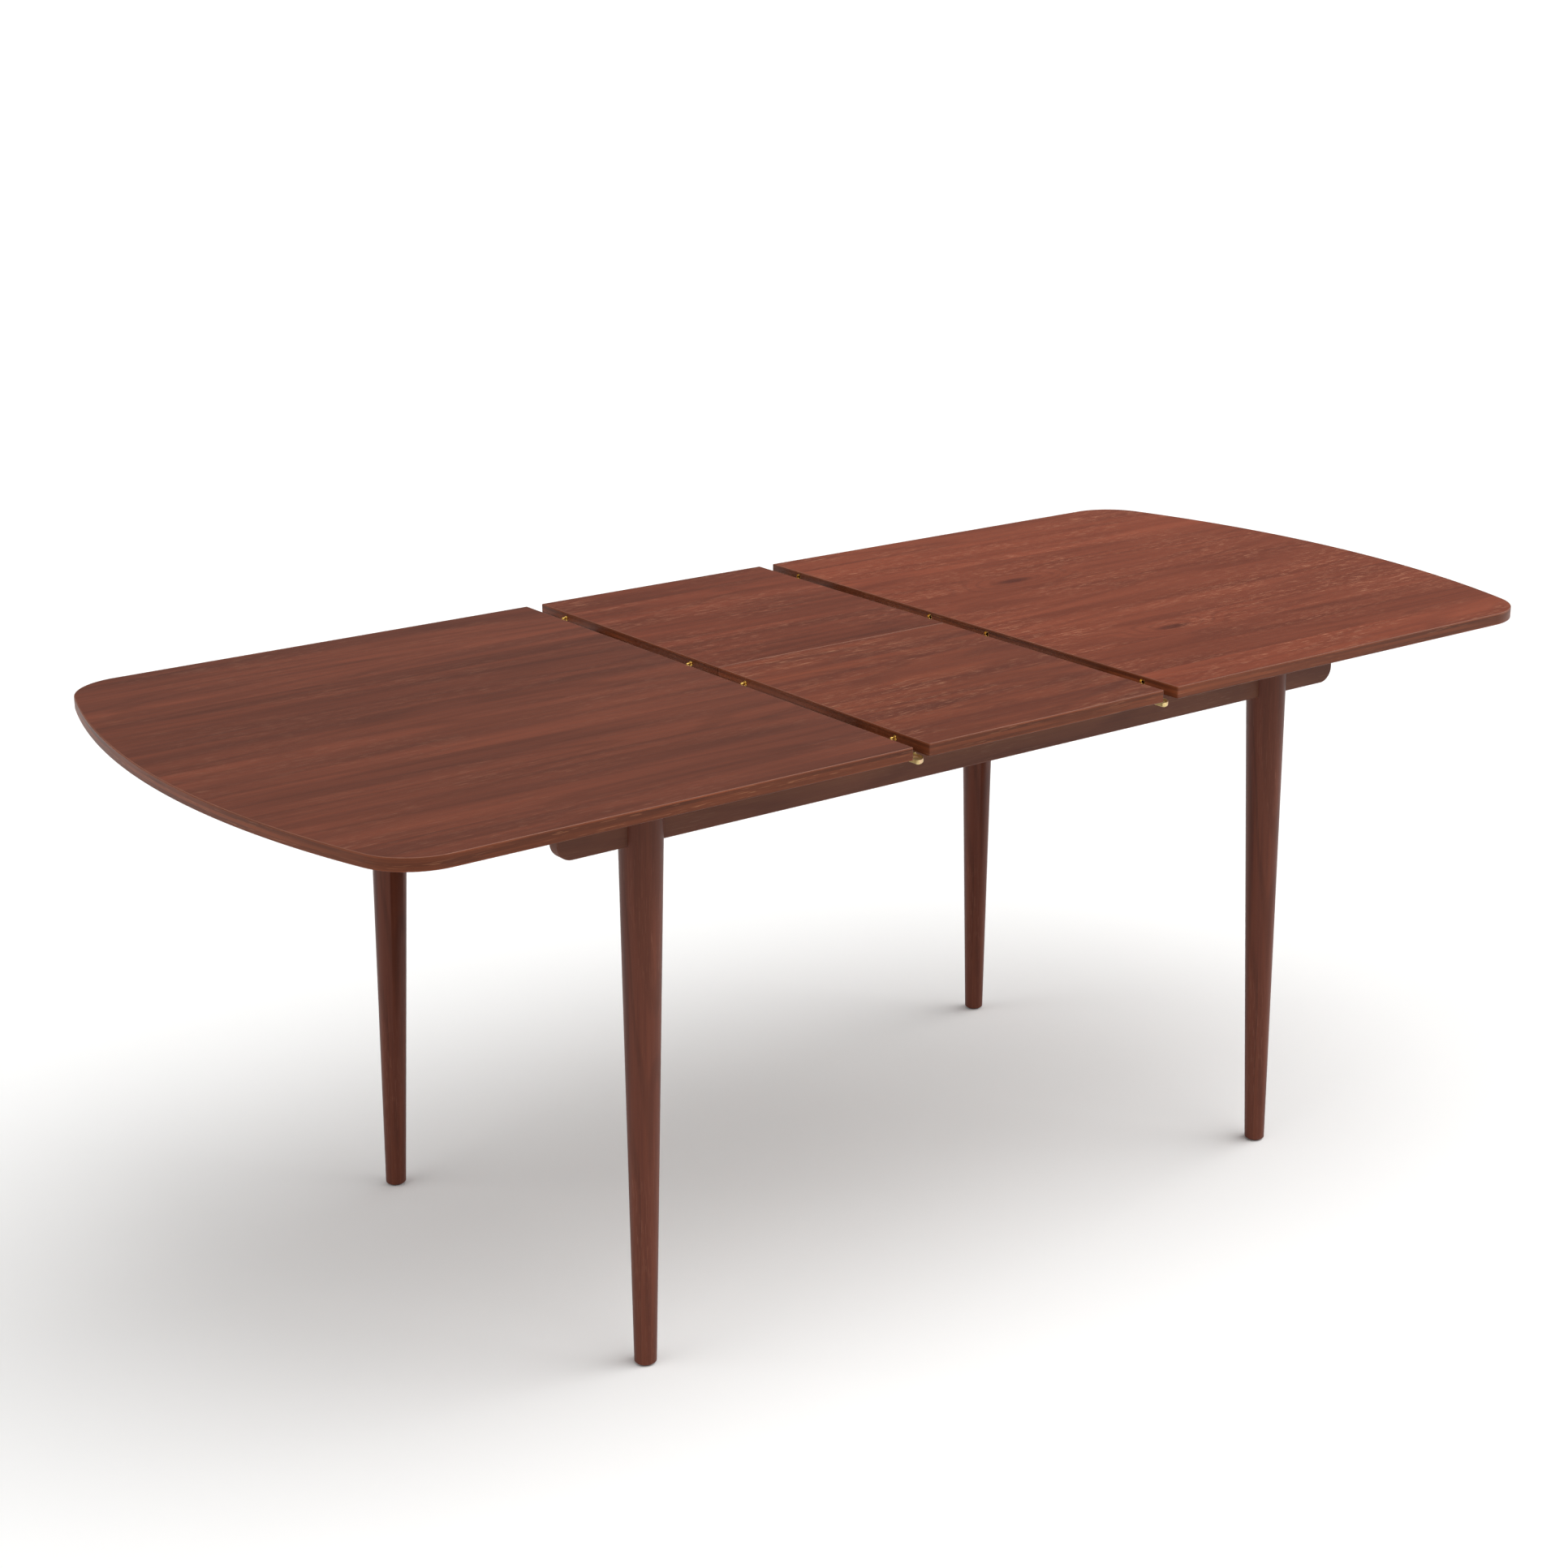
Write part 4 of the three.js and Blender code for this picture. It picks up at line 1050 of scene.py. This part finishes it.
for key, pivot in pivot_of.items():
    side, side_y = key.split("_")
    flip = 1 if side_y == "front" else -1
    carrier = "left_end_top" if side == "left" else f"leaf_{side_y}_half"
    neighbour = "right_end_top" if side == "right" else f"leaf_{side_y}_half"
    curl_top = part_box(f"lock_lever_{key}")[1][2]
    thumb = lever(f"thumb_lever_{key}", pivot, flip, curl_top)
    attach(thumb, f"lever_{key}")
    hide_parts(f"lock_lever_{key}")

    low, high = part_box(f"lock_plate_{key}")
    plate_low = high[2] - PLATE_THICKNESS
    plate = slab(f"plate_{key}", rounded_box(low[:2], high[:2], PLATE_CORNER, 8),
                 plate_low, high[2], PLATE_EDGE, [yellow_zinc])
    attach(plate, carrier)
    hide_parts(f"lock_plate_{key}")
    head_low = low[2]
    head_high = TRAY_TOP - SHEET - RIVET_GAP
    shank_top = plate_low + 0.5 * MM
    rivet = turned(f"rivet_{key}", [
        (0, head_low), (RIVET_FACE, head_low),
        (RIVET_HEAD - RIVET_HEAD_EDGE, head_low + RIVET_DISH),
        (RIVET_HEAD, head_low + RIVET_HEAD_EDGE + RIVET_DISH), (RIVET_HEAD, head_high),
        (RIVET_SHANK, head_high), (RIVET_SHANK, shank_top), (0, shank_top)],
        Matrix.Translation((pivot[0], pivot[1], 0)), [yellow_zinc], 48)
    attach(rivet, carrier)
    screw_x = (low[0] + PLATE_SCREW_INSET, high[0] - PLATE_SCREW_INSET)
    screw_y = (low[1] + PLATE_SCREW_INSET, high[1] - PLATE_SCREW_INSET)
    for number, (x, y) in enumerate((x, y) for x in screw_x for y in screw_y):
        screw(f"plate_screw_{key}_{number}", (x, y, plate_low), carrier)

    low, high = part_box(f"lock_stud_{key}")
    radius = (high[0] - low[0]) / 2
    flange = high[2] - STUD_FLANGE
    stud = turned(f"stud_{key}", [
        (0, low[2]), (STUD_SHANK - STUD_EDGE, low[2]), (STUD_SHANK, low[2] + STUD_EDGE),
        (STUD_SHANK, flange), (radius - STUD_EDGE, flange), (radius, flange + STUD_EDGE),
        (radius, high[2]), (0, high[2])],
        Matrix.Translation((*middle(low, high)[:2], 0)), [bright_zinc], 40)
    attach(stud, neighbour)
    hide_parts(f"lock_stud_{key}")


# ---- Studio ----
# A plain pale floor, even soft light from above and round about, and the camera in front of the
# near left corner, a little above eye level of someone seated, with a moderately long lens.

FLOOR_HALF = 500.0  # metres, so that the floor's far edge is level with the horizon
WORLD_STRENGTH = 0.22
SUNS = (  # name, the side it shines from, its spread in degrees, its power
    ("overhead right", (0.55, -0.45, 1.0), 80, 1.7),
    ("overhead", (-0.1, -0.2, 1.0), 90, 1.0),
    ("right side", (1.0, -0.4, 0.45), 60, 1.25),
    ("left side", (-1.0, 0.2, 0.45), 60, 0.75),
)
LENS = 62.58  # millimetres on a 36 mm wide sensor
CAMERA_PLACE = (-2.1503, -2.7581, 1.6745)
CAMERA_DOWN = 17.74  # degrees below level
CAMERA_ROLL = 0.12
CAMERA_TURN = -36.88

paint, _, _ = new_material("matt white floor paint", {
    "Base Color": linear("#FAFAF9"), "Roughness": 0.9, "Specular IOR Level": 0.2})
floor_mesh = bmesh.new()
bmesh.ops.create_grid(floor_mesh, x_segments=1, y_segments=1, size=FLOOR_HALF)
floor_data = bpy.data.meshes.new("studio_floor")
floor_mesh.to_mesh(floor_data)
floor_mesh.free()
floor_data.materials.append(paint)
floor = bpy.data.objects.new("studio_floor", floor_data)
bpy.context.scene.collection.objects.link(floor)

world = bpy.data.worlds.new("studio")
bpy.context.scene.world = world
world.use_nodes = True
surround = world.node_tree.nodes["Background"]
surround.inputs["Color"].default_value = linear("#FFFFFF")
surround.inputs["Strength"].default_value = WORLD_STRENGTH

for name, towards, spread, power in SUNS:
    lamp = bpy.data.lights.new(name, "SUN")
    lamp.angle = math.radians(spread)
    lamp.energy = power
    light = bpy.data.objects.new(name, lamp)
    light.rotation_euler = Vector(towards).to_track_quat("Z", "Y").to_euler()
    bpy.context.scene.collection.objects.link(light)
bpy.context.scene.view_settings.view_transform = "Standard"

camera_data = bpy.data.cameras.new("camera")
camera_data.sensor_width = 36.0
camera_data.lens = LENS
camera = bpy.data.objects.new("camera", camera_data)
camera.location = CAMERA_PLACE
camera.rotation_euler = [math.radians(a) for a in (90 - CAMERA_DOWN, CAMERA_ROLL, CAMERA_TURN)]
bpy.context.scene.collection.objects.link(camera)
bpy.context.scene.camera = camera
